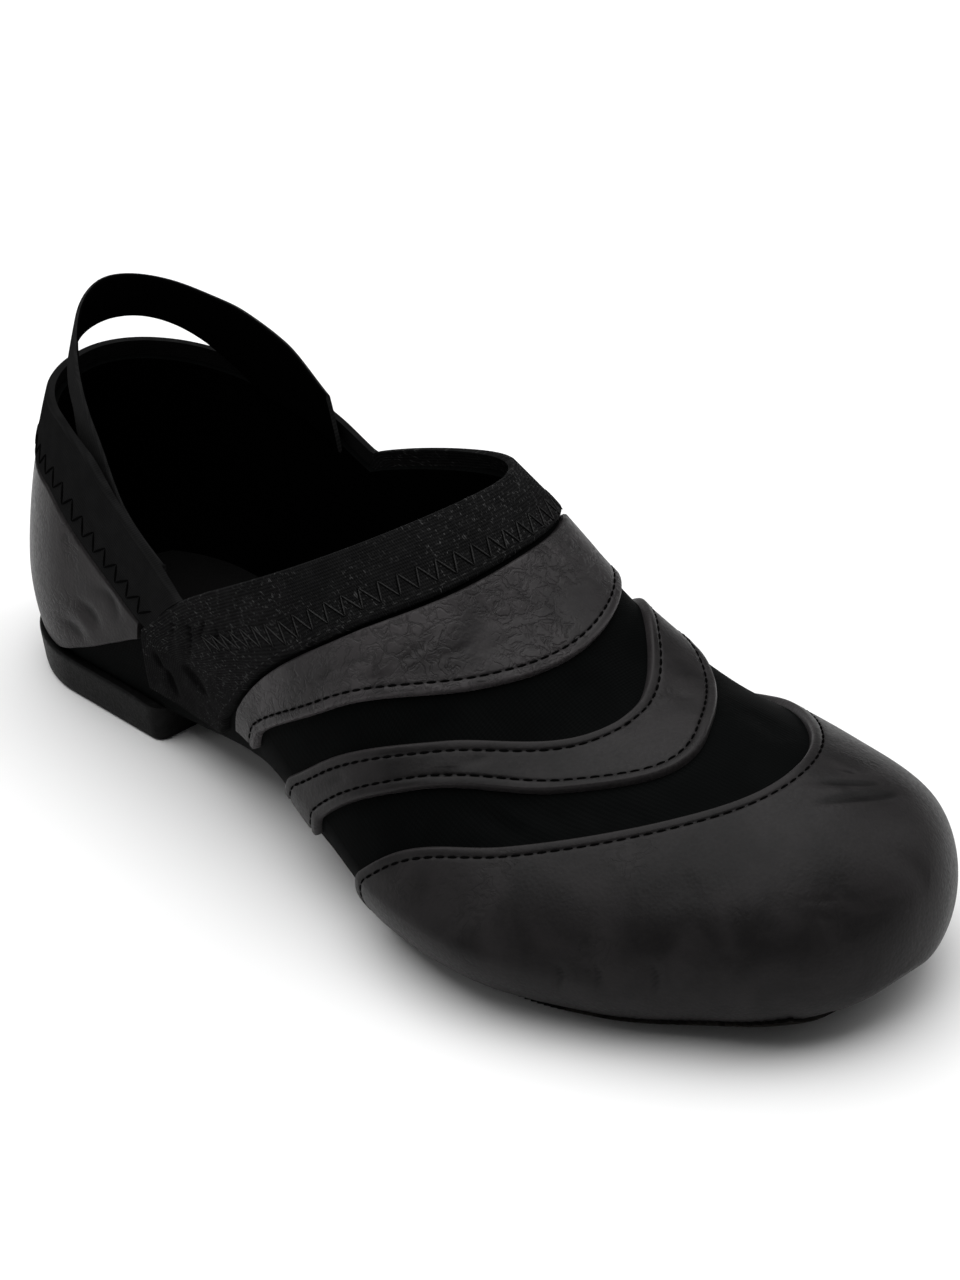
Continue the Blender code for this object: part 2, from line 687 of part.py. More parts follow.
def pad_outline(inset):
    """Plan outline of the heel pad, round at the back and straight at the breast."""
    radius = PAD_WIDTH / 2 - inset
    back = LENGTH / 2 - PAD_SET_IN
    centre_y = back - PAD_WIDTH / 2
    breast = back - PAD_LENGTH + inset
    centre_x = SECTIONS[1][1] * BALL_WIDTH
    points = []
    for k in range(17):
        angle = math.pi * k / 16
        points.append((centre_x + radius * math.cos(angle), centre_y + radius * math.sin(angle)))
    for side, angles in ((-1, (180, 225, 270)), (1, (270, 315, 360))):
        for degrees in angles:
            angle = math.radians(degrees)
            points.append((
                centre_x + side * (radius - PAD_CORNER) + PAD_CORNER * math.cos(angle),
                breast + PAD_CORNER + PAD_CORNER * math.sin(angle),
            ))
    return points


def build_heel_pad():
    """Rubber heel pad, a little smaller at the floor, with rounded edges."""
    top = FOREFOOT_SOLE + HEEL_LIFT
    rings = (
        (0.0, PAD_FLARE + PAD_EDGE),
        (PAD_EDGE, PAD_FLARE),
        (top - PAD_EDGE, 0.0),
        (top, PAD_EDGE * 0.5),
    )
    vertices = []
    faces = []
    size = len(pad_outline(0.0))
    for height, inset in rings:
        vertices += [(x, y, height) for x, y in pad_outline(inset)]
    for ring in range(len(rings) - 1):
        for k in range(size):
            a = ring * size + k
            b = ring * size + (k + 1) % size
            faces.append([a, b, b + size, a + size])
    faces.append(list(reversed(range(size))))
    faces.append([(len(rings) - 1) * size + k for k in range(size)])
    return make_object("heel_pad", vertices, faces)


def paint(made, name, colour, roughness, metallic=0.0):
    """Give an object its own material."""
    material = bpy.data.materials.new(name)
    material.use_nodes = True
    shader = material.node_tree.nodes["Principled BSDF"]
    shader.inputs["Base Color"].default_value = (*colour, 1.0)
    shader.inputs["Roughness"].default_value = roughness
    shader.inputs["Metallic"].default_value = metallic
    made.data.materials.append(material)


def centre_on_floor():
    """Move every mesh so that the shoe's box has its middle over the origin and stands on the floor."""
    meshes = [made.data for made in bpy.data.objects if made.type == "MESH"]
    points = np.array([vertex.co[:] for mesh in meshes for vertex in mesh.vertices])
    low = points.min(axis=0)
    high = points.max(axis=0)
    shift = Vector((-(low[0] + high[0]) / 2, -(low[1] + high[1]) / 2, -low[2]))
    for mesh in meshes:
        mesh.transform(Matrix.Translation(shift))


def main():
    for old in list(bpy.data.objects):
        bpy.data.objects.remove(old, do_unlink=True)
    leather = (0.030, 0.029, 0.030)
    elastic = (0.010, 0.010, 0.011)
    paint(build_upper(), "stretch_cloth", (0.004, 0.005, 0.006), 0.75)
    paint(build_toe_cap(), "cap_leather", leather, 0.45)
    paint(build_band("vamp_band", "band_rear", "band_front", 3, 0.0), "band_leather", leather, 0.45)
    paint(build_band("throat_band", "elastic_front", "throat_front", 3, SEAM_FIT), "throat_leather", leather, 0.45)
    paint(build_heel_counter(), "counter_leather", leather, 0.45)
    paint(build_collar_front(), "front_elastic", elastic, 0.8)
    paint(build_collar_rear(), "rear_elastic", elastic, 0.8)
    paint(build_heel_loop(), "loop_elastic", elastic, 0.8)
    paint(build_forefoot_sole(), "sole_suede", (0.020, 0.019, 0.018), 0.9)
    paint(build_heel_pad(), "heel_rubber", (0.012, 0.012, 0.012), 0.6)
    paint(build_insole(), "insole_cloth", (0.010, 0.010, 0.011), 0.8)
    centre_on_floor()


main()
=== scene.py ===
"""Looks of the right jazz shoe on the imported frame: leather, cloth, elastics, stitches and soles.

Every soft piece is made again, finer, on the surface of the last. A place on the last is given by
a share of its length from the heel and a wrap round its section: 0 at the ridge, -1 and 1 at the
widest level of the outer and the inner side, -2 and 2 at the middle of the bottom. A turn is 1 less
the wrap's size: 1 at the ridge, 0 at the widest level. Lengths are metres.
"""

import logging
import math
from dataclasses import dataclass, field
from enum import Enum
from typing import Callable, Optional, Sequence

import bmesh
import bpy
import numpy as np
from mathutils import Matrix, Vector


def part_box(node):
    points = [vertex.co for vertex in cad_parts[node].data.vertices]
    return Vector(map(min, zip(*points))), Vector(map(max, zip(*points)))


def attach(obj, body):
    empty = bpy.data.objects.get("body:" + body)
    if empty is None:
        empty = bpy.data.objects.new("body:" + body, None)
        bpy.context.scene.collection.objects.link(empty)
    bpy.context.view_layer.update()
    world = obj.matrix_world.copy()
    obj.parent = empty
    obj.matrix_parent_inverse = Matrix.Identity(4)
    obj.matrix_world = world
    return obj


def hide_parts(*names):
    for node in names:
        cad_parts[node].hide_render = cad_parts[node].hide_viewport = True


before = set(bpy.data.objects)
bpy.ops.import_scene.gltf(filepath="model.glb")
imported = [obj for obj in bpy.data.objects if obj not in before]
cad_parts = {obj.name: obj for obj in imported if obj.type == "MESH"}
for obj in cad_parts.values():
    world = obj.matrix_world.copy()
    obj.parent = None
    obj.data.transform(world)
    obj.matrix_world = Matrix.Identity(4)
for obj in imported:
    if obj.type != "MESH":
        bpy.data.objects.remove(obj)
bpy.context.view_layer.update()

logging.basicConfig(level=logging.INFO, format="%(message)s")
LOG = logging.getLogger("jazz_shoe")
MM = 0.001
Array = np.ndarray
Place = Callable[[Array, Array], tuple[Array, Array]]
Line = tuple[Array, Array]
Colour = tuple[float, float, float]


class Side(Enum):
    """Side of the foot, as the sign of X."""

    OUTER = -1
    INNER = 1


class Surface(Enum):
    """Kind of surface that a material stands for."""

    LEATHER = "leather"
    CLOTH = "cloth"
    ELASTIC = "elastic"
    SUEDE = "suede"
    RUBBER = "rubber"
    THREAD = "thread"


@dataclass(frozen=True)
class LastSizes:
    """Sizes of the last and the walls on it, as in the CAD part but for the gussets' rear edges."""

    length: float = 0.2425
    ball_width: float = 0.0936
    heel_width: float = 0.0560
    instep_height: float = 0.0794
    ball_height: float = 0.0449
    heel_lift: float = 0.0073
    side_level: float = 0.0160
    toe_tip_level: float = 0.0150
    back_lean: float = 0.0098
    back_tuck: float = 0.0019
    back_height: float = 0.0705
    outer_side_height: float = 0.0432
    inner_side_height: float = 0.0572
    cloth: float = 0.0014
    leather: float = 0.0012
    elastic: float = 0.0015
    tape: float = 0.0012
    sole: float = 0.0020
    insole: float = 0.0016
    fit: float = 0.0003
    curved_fit: float = 0.0004
    elastic_proud: float = 0.0040
    loop_gap: float = 0.0088
    loop_lap: float = 0.0040
    loop_width: float = 0.0130
    gusset_rear: float = 0.0140
    gusset_under: float = 0.0010
    gusset_front: float = 0.0070
    pad_width: float = 0.0555
    pad_length: float = 0.0590
    pad_set_in: float = 0.0012
    pad_flare: float = 0.0012
    pad_corner: float = 0.0040


@dataclass(frozen=True)
class LastShares:
    """Places along the last as shares of its length, and turns of its low edges."""

    side: float = 0.295
    throat: float = 0.527
    ball: float = 0.730
    cap: float = 0.830
    waist_start: float = 0.250
    waist_end: float = 0.630
    heel_round: float = 0.130
    toe_round: float = 0.280
    tip_round: float = 0.098
    lean_reach: float = 0.350
    tuck_start: float = 0.978
    tuck_end: float = 0.990
    loop_close: float = 0.170
    feather_turn: float = -0.5
    band_low_turn: float = -0.13
    cap_low_turn: float = -0.36
    gusset_low_turn: float = -0.25
    sole_edge_turn: float = -0.41
    insole_edge_turn: float = -0.54


@dataclass(frozen=True)
class LastCurves:
    """Powers and shares that bend the last's outlines."""

    heel_power: float = 1.9
    toe_power: float = 2.24
    tip_power: float = 2.4
    tip_middle_power: float = 0.5
    low_power: float = 1.8
    lean_level: float = 0.73
    lean_power: float = 1.6
    lean_run: float = 0.8
    lean_reach_power: float = 1.5
    outer_collar_power: float = 0.95
    inner_collar_power: float = 0.90
    line_end_run: float = 0.25


# Sections of the last: the share, then the columns named here.
CENTRE, HALF_WIDTH, RIDGE, LIFT, LEVEL, SIDE_ROUND, RIDGE_ROUND, SHIFT, FEATHER = range(9)
SECTIONS = (
    (0.00, -0.008, 0.293, 1.400, 1.000, 1.23, 2.40, 2.20, 0.000, 0.90),
    (0.12, -0.006, 0.293, 1.400, 1.000, 1.23, 2.40, 2.20, 0.000, 0.90),
    (0.25, -0.006, 0.293, 1.350, 1.000, 1.29, 2.40, 2.20, 0.000, 0.90),
    (0.40, -0.025, 0.345, 1.202, 1.356, 1.12, 2.30, 2.10, 0.005, 0.72),
    (0.52, -0.041, 0.400, 1.000, 0.347, 1.06, 2.15, 2.00, 0.032, 0.66),
    (0.63, -0.058, 0.464, 0.715, 0.000, 0.97, 1.95, 2.00, 0.062, 0.66),
    (0.73, -0.027, 0.500, 0.567, 0.000, 0.88, 1.90, 2.00, 0.086, 0.66),
    (0.83, 0.037, 0.487, 0.563, 0.060, 0.81, 1.90, 2.00, 0.096, 0.66),
    (0.92, 0.096, 0.483, 0.530, 0.452, 0.75, 1.95, 2.12, 0.104, 0.66),
    (1.00, 0.086, 0.466, 0.482, 0.964, 0.63, 1.95, 2.15, 0.104, 0.66),
)
# Lines across the forefoot: their shares at these wraps, the first one at both ends.
LINE_WRAPS = (-1.0, -0.75, -0.5, -0.25, 0.0, 0.25, 0.5, 0.75, 1.0)
LINES = {
    "elastic_front": (0.396, 0.467, 0.531, 0.566, 0.573, 0.558, 0.521, 0.476),
    "throat_front": (0.435, 0.523, 0.594, 0.642, 0.651, 0.626, 0.582, 0.530),
    "band_rear": (0.483, 0.565, 0.637, 0.703, 0.707, 0.657, 0.606, 0.558),
    "band_front": (0.535, 0.609, 0.692, 0.784, 0.781, 0.731, 0.662, 0.602),
    "cap_rear": (0.604, 0.673, 0.780, 0.851, 0.865, 0.837, 0.765, 0.682),
}
# Edges round the heel: their heights as shares of the back's, over the way to the sides.
HEEL_COLUMNS = ("way", "outer_top", "inner_top", "elastic_low", "counter_low", "outer_loop",
                "inner_loop")
HEEL_EDGES = (
    (0.00, 1.000, 1.000, 0.760, 0.152, 1.285, 1.285),
    (0.13, 1.000, 0.972, 0.762, 0.152, 1.235, 1.247),
    (0.30, 0.993, 0.944, 0.755, 0.152, 1.130, 1.200),
    (0.50, 0.932, 0.928, 0.640, 0.226, 0.960, 1.172),
    (0.67, 0.818, 0.916, 0.538, 0.318, 0.775, 1.130),
    (0.84, 0.712, 0.880, 0.440, 0.405, 0.670, 1.010),
    (1.00, 0.613, 0.811, 0.390, 0.430, 0.600, 0.900),
)
# The folds of each piece: share and wrap of both ends, height and width in millimetres.
FOLDS = {
    "throat_leather": (
        (0.5618, -0.538, 0.5743, -0.360, -0.37, 1.0),
        (0.5694, -0.508, 0.5805, -0.310, 0.24, 1.0),
        (0.5093, -0.688, 0.5487, -0.547, -0.27, 1.1),
        (0.5908, -0.269, 0.6116, -0.041, -0.20, 1.2),
        (0.6095, -0.301, 0.6095, -0.139, -0.17, 1.0),
        (0.5321, -0.666, 0.5715, -0.513, -0.24, 1.0),
        (0.6019, -0.004, 0.6047, 0.167, -0.20, 1.2),
        (0.4859, -0.786, 0.5176, -0.659, -0.24, 1.2),
        (0.5846, -0.424, 0.5971, -0.298, -0.20, 0.9),
        (0.5300, 0.620, 0.5700, 0.450, -0.31, 1.4),
        (0.5050, 0.760, 0.5400, 0.640, -0.27, 1.3),
    ),
    "vamp_leather": (
        (0.6516, -0.542, 0.6585, -0.469, -0.34, 1.2),
        (0.6385, -0.625, 0.6475, -0.554, -0.27, 1.2),
        (0.7020, -0.155, 0.7428, -0.139, -0.20, 2.0),
        (0.7089, 0.053, 0.7366, 0.101, -0.20, 1.8),
        (0.5335, -0.928, 0.5618, -0.823, -0.31, 1.6),
        (0.6400, 0.480, 0.6900, 0.420, -0.27, 1.8),
        (0.5800, 0.760, 0.6200, 0.700, -0.31, 1.8),
    ),
    "cap_leather": (
        (0.8857, 0.016, 0.9127, 0.276, -0.60, 1.2),
        (0.9030, -0.070, 0.9265, 0.333, -0.75, 1.5),
        (0.8795, 0.144, 0.8940, 0.215, -0.34, 1.0),
        (0.8063, -0.930, 0.8110, -1.100, -0.45, 0.9),
        (0.8326, -0.900, 0.8390, -1.060, -0.38, 0.9),
        (0.8726, -0.870, 0.8770, -1.080, -0.42, 0.9),
        (0.9500, -0.479, 0.9645, -0.378, -0.14, 0.9),
        (0.9610, -0.536, 0.9693, -0.483, -0.14, 0.9),
        (0.9134, -0.891, 0.9292, -0.786, -0.20, 3.0),
        (0.8519, -0.666, 0.8816, -0.526, -0.34, 4.0),
        (0.6758, -0.862, 0.7373, -0.919, -0.59, 4.5),
        (0.9610, 0.012, 0.9845, 0.374, -0.42, 3.0),
        (0.8500, 0.620, 0.8900, 0.760, -0.42, 2.0),
        (0.7600, 0.880, 0.8200, 0.940, -0.51, 3.0),
    ),
    "counter_leather": (
        (0.1456, -1.018, 0.1796, -1.100, -0.50, 1.7),
        (0.1191, -1.161, 0.1524, -1.194, -0.45, 1.7),
        (0.1747, -0.974, 0.2093, -1.013, -0.40, 1.6),
        (0.1320, -1.080, 0.1650, -1.150, 0.40, 2.0),
        (0.1166, -0.808, 0.1388, -0.945, -0.25, 2.6),
        (0.1500, 1.050, 0.1900, 1.120, -0.45, 1.8),
        (0.1200, 1.150, 0.1600, 1.200, -0.40, 1.7),
    ),
    "cloth_body": (
        (0.6668, -0.613, 0.7331, -0.570, -0.75, 2.2),
        (0.7027, -0.499, 0.7718, -0.495, -0.80, 2.2),
        (0.7338, -0.444, 0.7932, -0.463, -0.65, 2.0),
        (0.7628, -0.394, 0.8167, -0.412, -0.50, 1.8),
        (0.6850, -0.560, 0.7520, -0.530, 0.45, 2.0),
        (0.7190, -0.470, 0.7830, -0.480, 0.40, 1.9),
        (0.5971, -0.613, 0.6198, -0.465, -0.35, 2.4),
        (0.6668, -0.189, 0.6668, -0.068, -0.30, 2.4),
        (0.7594, 0.235, 0.8236, 0.155, -0.40, 2.6),
        (0.4990, -0.900, 0.5328, -0.791, -0.40, 2.2),
        (0.6400, 0.700, 0.7200, 0.600, -0.55, 2.4),
        (0.5600, 0.850, 0.5900, 0.760, -0.45, 2.2),
        (0.4200, -1.120, 0.3500, -1.330, -0.60, 3.0),
        (0.4200, 1.120, 0.3500, 1.330, -0.60, 3.0),
    ),
    "front_band": (
        (0.2807, -0.953, 0.2835, -0.996, -0.55, 0.9),
        (0.3077, -0.926, 0.3167, -0.998, -0.75, 1.0),
        (0.3408, -0.887, 0.3298, -0.953, -0.55, 0.9),
        (0.3588, -0.871, 0.3609, -0.946, -0.45, 1.0),
        (0.2946, -1.046, 0.3491, -1.090, -0.70, 1.7),
        (0.2504, -1.069, 0.2883, -1.224, -0.80, 1.8),
        (0.3816, -0.850, 0.3809, -0.916, -0.30, 1.0),
        (0.2662, -0.998, 0.2656, -1.222, 0.50, 1.6),
        (0.2990, -0.930, 0.3000, -1.020, 0.45, 1.0),
        (0.3250, -0.900, 0.3240, -0.990, 0.40, 1.0),
        (0.2950, 0.800, 0.3000, 0.960, -0.60, 1.2),
        (0.3200, 0.780, 0.3180, 0.930, -0.50, 1.1),
        (0.2750, 0.950, 0.2900, 1.150, -0.70, 1.7),
        (0.3000, 1.020, 0.3400, 1.080, -0.50, 1.6),
    ),
}
# Creases and folds; only folds narrower than CREASE_WIDTH get painted shade, darkening the surface in
# their troughs.
CREASE_DEPTH = 0.45 * MM
CREASE_WIDTH = 2.1 * MM
FOLD_STEPS = 18
FOLD_BEND = 0.02
FOLD_BEND_SHARE = 0.3
FOLD_END = 0.06
# Steps, limits and marks of the surfaces.
SHARE_STEP = 0.0008
WRAP_STEP = 0.003
LAST_WRAP = 1.998
EDGE_STEPS = 400
CROSS_STEPS = 70
EDGE_MARKS = (0.0, 0.12, 0.35, 0.7, 1.0)
FOLD_MARKS = (0.5, 0.75, 0.86, 0.94, 1.0, 1.06, 1.14, 1.3, 1.6)
RIM_REACH = 0.9
RIM_LEAD = 0.05
STRIP_ROOM = 0.94
LEAST_SINE = 0.40
FAR = 0.02
TINY = 1e-15
# Looks, threads and the heel pad.
WAVE_SCALE = 0.3142
FLECK = (0.065, 0.065, 0.065)
TRIM = 2.0 * MM
INNER_RELIEF = 0.8
WALL_SHARP = 62
PAD_SHARP = 50
THREAD_SPREAD = (0.88, 1.12)
PAD_BOTTOM_INSETS = (20, 14, 9, 5, 3.4)


def smooth_step(x: Array) -> Array:
    """Smooth rise from 0 to 1.

    Args:
        x: Positions; 0 and below give 0, 1 and above give 1.

    Returns:
        The rise at each position.
    """
    t = np.clip(x, 0, 1)
    return t * t * (3 - 2 * t)


def rounding(distance: Array, power: float) -> Array:
    """Rise of a rounded end over a distance of 1.

    Args:
        distance: Distance from the end.
        power: Power of the superellipse.

    Returns:
        The rise from 0 to 1.
    """
    inside = 1 - np.clip(1 - np.clip(distance, 0, 1), 0, 1) ** power
    return np.clip(inside, 0, 1) ** (1 / power)


def pair(a: Array, b: Array) -> tuple[Array, Array]:
    """Two arrays of numbers, spread to one shape."""
    return tuple(np.broadcast_arrays(np.asarray(a, float), np.asarray(b, float)))


def unit(vectors: Array) -> Array:
    """Vectors of the last axis at a length of 1; zero ones stay zero."""
    return vectors / np.maximum(np.linalg.norm(vectors, axis=-1, keepdims=True), TINY)


def travel(points: Array) -> Array:
    """Distance along a line of points, from 0 at the first."""
    return np.concatenate([[0], np.cumsum(np.linalg.norm(np.diff(points, axis=0), axis=1))])


def sample(marks: Array, way: Array, rows: Array) -> Array:
    """Rows of a line at marks along its way."""
    return np.stack([np.interp(marks, way, rows[:, k]) for k in range(rows.shape[1])], axis=-1)


def place_object(name: str, data: bpy.types.ID) -> bpy.types.Object:
    """Object of a mesh, light or camera, linked to the scene."""
    made = bpy.data.objects.new(name, data)
    bpy.context.scene.collection.objects.link(made)
    return made


class Curve:
    """Smooth curve through the rows of a table whose first column is the position."""

    def __init__(self, rows: Sequence[Sequence[float]], even: bool = False) -> None:
        """Work out the slopes at the rows.

        Args:
            rows: Position and values of each row.
            even: True for the evenly bent curve, False for one that never overshoots.
        """
        table = np.array(rows, float)
        self.xs = table[:, 0]
        self.ys = table[:, 1:]
        step = np.diff(self.xs)[:, None]
        rise = np.diff(self.ys, axis=0) / step
        slopes = np.zeros_like(self.ys)
        slopes[0], slopes[-1] = rise[0], rise[-1]
        same = rise[:-1] * rise[1:] > 0
        before = 2 * step[1:] + step[:-1]
        after = step[1:] + 2 * step[:-1]
        first, second = np.where(same, rise[:-1], 1.0), np.where(same, rise[1:], 1.0)
        mean = (before + after) / (before / first + after / second)
        slopes[1:-1] = np.where(same, mean, 0.0)
        self.slopes = self._even(rise) if even else slopes

    @staticmethod
    def _even(rise: Array) -> Array:
        """Slopes of the evenly bent curve, for positions with one spacing."""
        count = len(rise) + 1
        weights = np.diag(np.full(count, 4.0)) + np.eye(count, k=1) + np.eye(count, k=-1)
        weights[0, 0] = weights[-1, -1] = 2.0
        sums = np.concatenate([rise[:1], rise[:-1] + rise[1:], rise[-1:]])
        return np.linalg.solve(weights, 3 * sums)

    def __call__(self, x: Array) -> Array:
        """Values of all columns at positions.

        Args:
            x: Positions.

        Returns:
            The columns' values, on a last axis.
        """
        x = np.clip(np.asarray(x, float), self.xs[0], self.xs[-1])
        k = np.clip(np.searchsorted(self.xs, x, side="right") - 1, 0, len(self.xs) - 2)
        h = (self.xs[k + 1] - self.xs[k])[..., None]
        t = (x - self.xs[k])[..., None] / h
        start = (1 + 2 * t) * (1 - t) ** 2 * self.ys[k] + t * (1 - t) ** 2 * h * self.slopes[k]
        end = t * t * (3 - 2 * t) * self.ys[k + 1] + t * t * (t - 1) * h * self.slopes[k + 1]
        return start + end


class Last:
    """The last's surface in the row's frame, with the named lines on it."""

    def __init__(self, sizes: LastSizes, shares: LastShares, curves: LastCurves) -> None:
        """Fit the curves of the tables and the shift from the last's own frame to the row's.

        Args:
            sizes: Sizes of the last and its walls.
            shares: Places along it and turns of its low edges.
            curves: Powers of its outlines.
        """
        self.sizes, self.shares, self.curves = sizes, shares, curves
        self.sections = Curve(SECTIONS)
        self.heel = Curve(HEEL_EDGES)
        self.heel_half = SECTIONS[0][1:][HALF_WIDTH]
        self.ball_ridge = float(self.sections(shares.ball)[RIDGE])
        self.lines = {}
        for name, (low, *values) in LINES.items():
            self.lines[name] = Curve(list(zip(LINE_WRAPS, [low, *values, low])), even=True)
        low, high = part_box("heel_pad")
        self.pad_x = SECTIONS[1][1:][CENTRE] * sizes.ball_width
        self.shift = np.array([
            (low.x + high.x) / 2 - self.pad_x,
            high.y - (sizes.length / 2 - sizes.pad_set_in),
            0.0,
        ])

    def tip_rise(self, share: Array) -> Array:
        """Rise from 0 at the very tip of the toe to 1 behind its rounded front."""
        return rounding((1 - share) / self.shares.tip_round, self.curves.tip_power)

    def levels(self, share: Array) -> tuple[Array, Array, Array]:
        """Heights of a section.

        Args:
            share: Shares of the length.

        Returns:
            Bottom, widest level and ridge.
        """
        z, s = self.sizes, self.shares
        row = self.sections(share)
        near_tip = self.tip_rise(share)
        bottom = z.sole + z.fit + row[..., LIFT] * z.heel_lift
        widest = bottom + row[..., LEVEL] * z.side_level
        forward = smooth_step((share - s.throat) / (s.cap - s.throat))
        height = z.instep_height + (z.ball_height / self.ball_ridge - z.instep_height) * forward
        ridge = row[..., RIDGE] * height
        middle = z.toe_tip_level + (widest - z.toe_tip_level) * near_tip ** self.curves.tip_middle_power
        low = middle - row[..., LEVEL] * z.side_level * near_tip
        return low, middle, middle + (ridge - widest) * near_tip

    def point(self, share: Array, wrap: Array) -> Array:
        """Points of the surface.

        Args:
            share: Shares of the length from the heel.
            wrap: Wraps round the section.

        Returns:
            Points on a last axis of three.
        """
        z, s, c = self.sizes, self.shares, self.curves
        share, wrap = pair(share, wrap)
        side = np.where(wrap < 0, -1.0, 1.0)
        turn = 1 - np.abs(wrap)
        row = self.sections(share)
        bottom, widest, ridge = self.levels(share)
        heel_width = z.heel_width / (2 * self.heel_half)
        waist = smooth_step((share - s.waist_start) / (s.waist_end - s.waist_start))
        width = heel_width + (z.ball_width - heel_width) * waist
        ends = rounding(share / s.heel_round, c.heel_power)
        ends = ends * rounding((1 - share) / s.toe_round, c.toe_power)
        half = row[..., HALF_WIDTH] * width * ends
        centre = row[..., CENTRE] * z.ball_width
        up = np.clip(turn, 0, 1) * math.pi / 2
        down = np.clip(turn / s.feather_turn, 0, 1) * math.pi / 2
        flat = np.clip((turn - s.feather_turn) / (-1 - s.feather_turn), 0, 1)
        crown = np.sin(up) ** (2 / row[..., RIDGE_ROUND])
        side_x = half * np.clip(np.cos(up), 0, 1) ** (2 / row[..., SIDE_ROUND])
        low_side = np.clip(np.cos(down), 0, 1) ** (2 / c.low_power)
        low_x = half * (row[..., FEATHER] + (1 - row[..., FEATHER]) * low_side) * (1 - flat)
        low_z = widest + (bottom - widest) * np.sin(down) ** (2 / c.low_power)
        above = turn >= 0
        x = centre + side * np.where(above, side_x, low_x)
        shift = (row[..., SHIFT] * z.ball_width - centre) * crown * self.tip_rise(share)
        x = x + np.where(above, shift, 0)
        height = np.where(above, widest + (ridge - widest) * crown, low_z)
        reach = np.clip(1 - share / s.lean_reach, 0, 1) ** c.lean_reach_power
        floor = z.sole + z.fit + z.heel_lift
        lean_from = floor + z.side_level * c.lean_level
        rise = np.clip((height - lean_from) / (z.back_height - lean_from), 0, None)
        lean = z.back_lean * np.where(rise < 1, rise ** c.lean_power, 1 + c.lean_run * (rise - 1))
        tuck = z.back_tuck * np.clip((floor + z.side_level - height) / z.side_level, 0, 1) ** 2
        y = z.length * (0.5 - share) - reach * (lean + tuck)
        return np.stack([x, y, height], axis=-1) + self.shift

    def normal(self, share: Array, wrap: Array) -> Array:
        """Unit normals, pointing out; on the back's middle line they are those of both sides."""
        share, wrap = pair(share, wrap)
        inside = np.clip(share, SHARE_STEP, 1 - SHARE_STEP)
        wrap = np.clip(wrap, -LAST_WRAP, LAST_WRAP)
        both = self._slope_normal(inside, wrap)
        both = both + self._slope_normal(inside, -wrap) * (share <= SHARE_STEP)[..., None]
        return unit(both)

    def _slope_normal(self, share: Array, wrap: Array) -> Array:
        """Unit normals from the slopes along and round the last."""
        along = self.point(share + SHARE_STEP / 2, wrap) - self.point(share - SHARE_STEP / 2, wrap)
        around = self.point(share, wrap + WRAP_STEP) - self.point(share, wrap - WRAP_STEP)
        return unit(np.cross(along, around))

    def turn_at_height(self, share: Array, height: Array) -> Array:
        """Turn at which a section reaches a height.

        Args:
            share: Shares of the length.
            height: Heights, one for each share.

        Returns:
            The turns, from 1 at the ridge to the feather's at the bottom.
        """
        row = self.sections(share)
        bottom, widest, ridge = self.levels(share)
        rise = np.clip((height - widest) / (ridge - widest), 0, 1)
        above = np.arcsin(rise ** (row[..., RIDGE_ROUND] / 2)) / (math.pi / 2)
        drop = np.clip((widest - height) / (widest - bottom), 0, 1)
        below = np.arcsin(drop ** (self.curves.low_power / 2)) / (math.pi / 2)
        below = below * self.shares.feather_turn
        return np.where(height >= widest, above, below)

    def heel_height(self, share: Array, side: Side, column: str) -> Array:
        """Height of a named edge round the heel.

        Args:
            share: Shares of the length.
            side: Side of the foot.
            column: Name of the edge; top and loop have one for each side.

        Returns:
            The heights.
        """
        name = f"{side.name.lower()}_{column}" if column in ("top", "loop") else column
        index = HEEL_COLUMNS.index(name) - 1
        way = np.asarray(share, float) / self.shares.side
        value = self.heel(way)[..., index] * self.sizes.back_height
        if column == "top":
            end = HEEL_EDGES[-1][index + 1] * self.sizes.back_height
            value = value + (self.side_height(side) - end) * smooth_step(way)
        return value

    def side_height(self, side: Side) -> float:
        """Height of the collar at its lowest place on a side."""
        return self.sizes.outer_side_height if side is Side.OUTER else self.sizes.inner_side_height

    def collar_height(self, share: Array, side: Side, inset: float) -> Array:
        """Height of the opening's edge.

        Args:
            share: Shares of the length.
            side: Side of the foot.
            inset: Distance by which the edge is set down.

        Returns:
            The heights.
        """
        share = np.asarray(share, float)
        low = self.side_height(side) - inset
        throat = self.shares.throat + inset / self.sizes.length
        top = self.levels(np.array(throat))[2]
        along = np.clip((share - self.shares.side) / (throat - self.shares.side), 0, 1)
        powers = {Side.OUTER: self.curves.outer_collar_power,
                  Side.INNER: self.curves.inner_collar_power}
        front = low + (top - low) * along ** powers[side]
        rear = self.heel_height(share, side, "top") - inset
        return np.where(share < self.shares.side, rear, front)

    def collar_share(self, turn: Array, side: Side, inset: float) -> Array:
        """Share of the length where the front of the opening's edge has a turn."""
        throat = self.shares.throat + inset / self.sizes.length
        shares = np.linspace(self.shares.side, throat, EDGE_STEPS)
        turns = self.turn_at_height(shares, self.collar_height(shares, side, inset))
        turns[-1] = 1.0
        return np.interp(turn, np.maximum.accumulate(turns), shares)

    def side_turn(self, side: Side, inset: float) -> float:
        """Turn of the opening's edge at its lowest place."""
        height = self.side_height(side) - inset
        return float(self.turn_at_height(np.array(self.shares.side), height))

    def line(self, name: str, wrap: Array) -> Array:
        """Share of the length of a named line at each wrap."""
        wrap = np.asarray(wrap, float)
        curve = self.lines[name]
        below = np.clip(np.abs(wrap) - 1, 0, -self.shares.band_low_turn)
        slope = np.where(wrap < 0, -curve.slopes[0, 0], curve.slopes[-1, 0])
        return curve(np.clip(wrap, -1, 1))[..., 0] + self.curves.line_end_run * slope * below

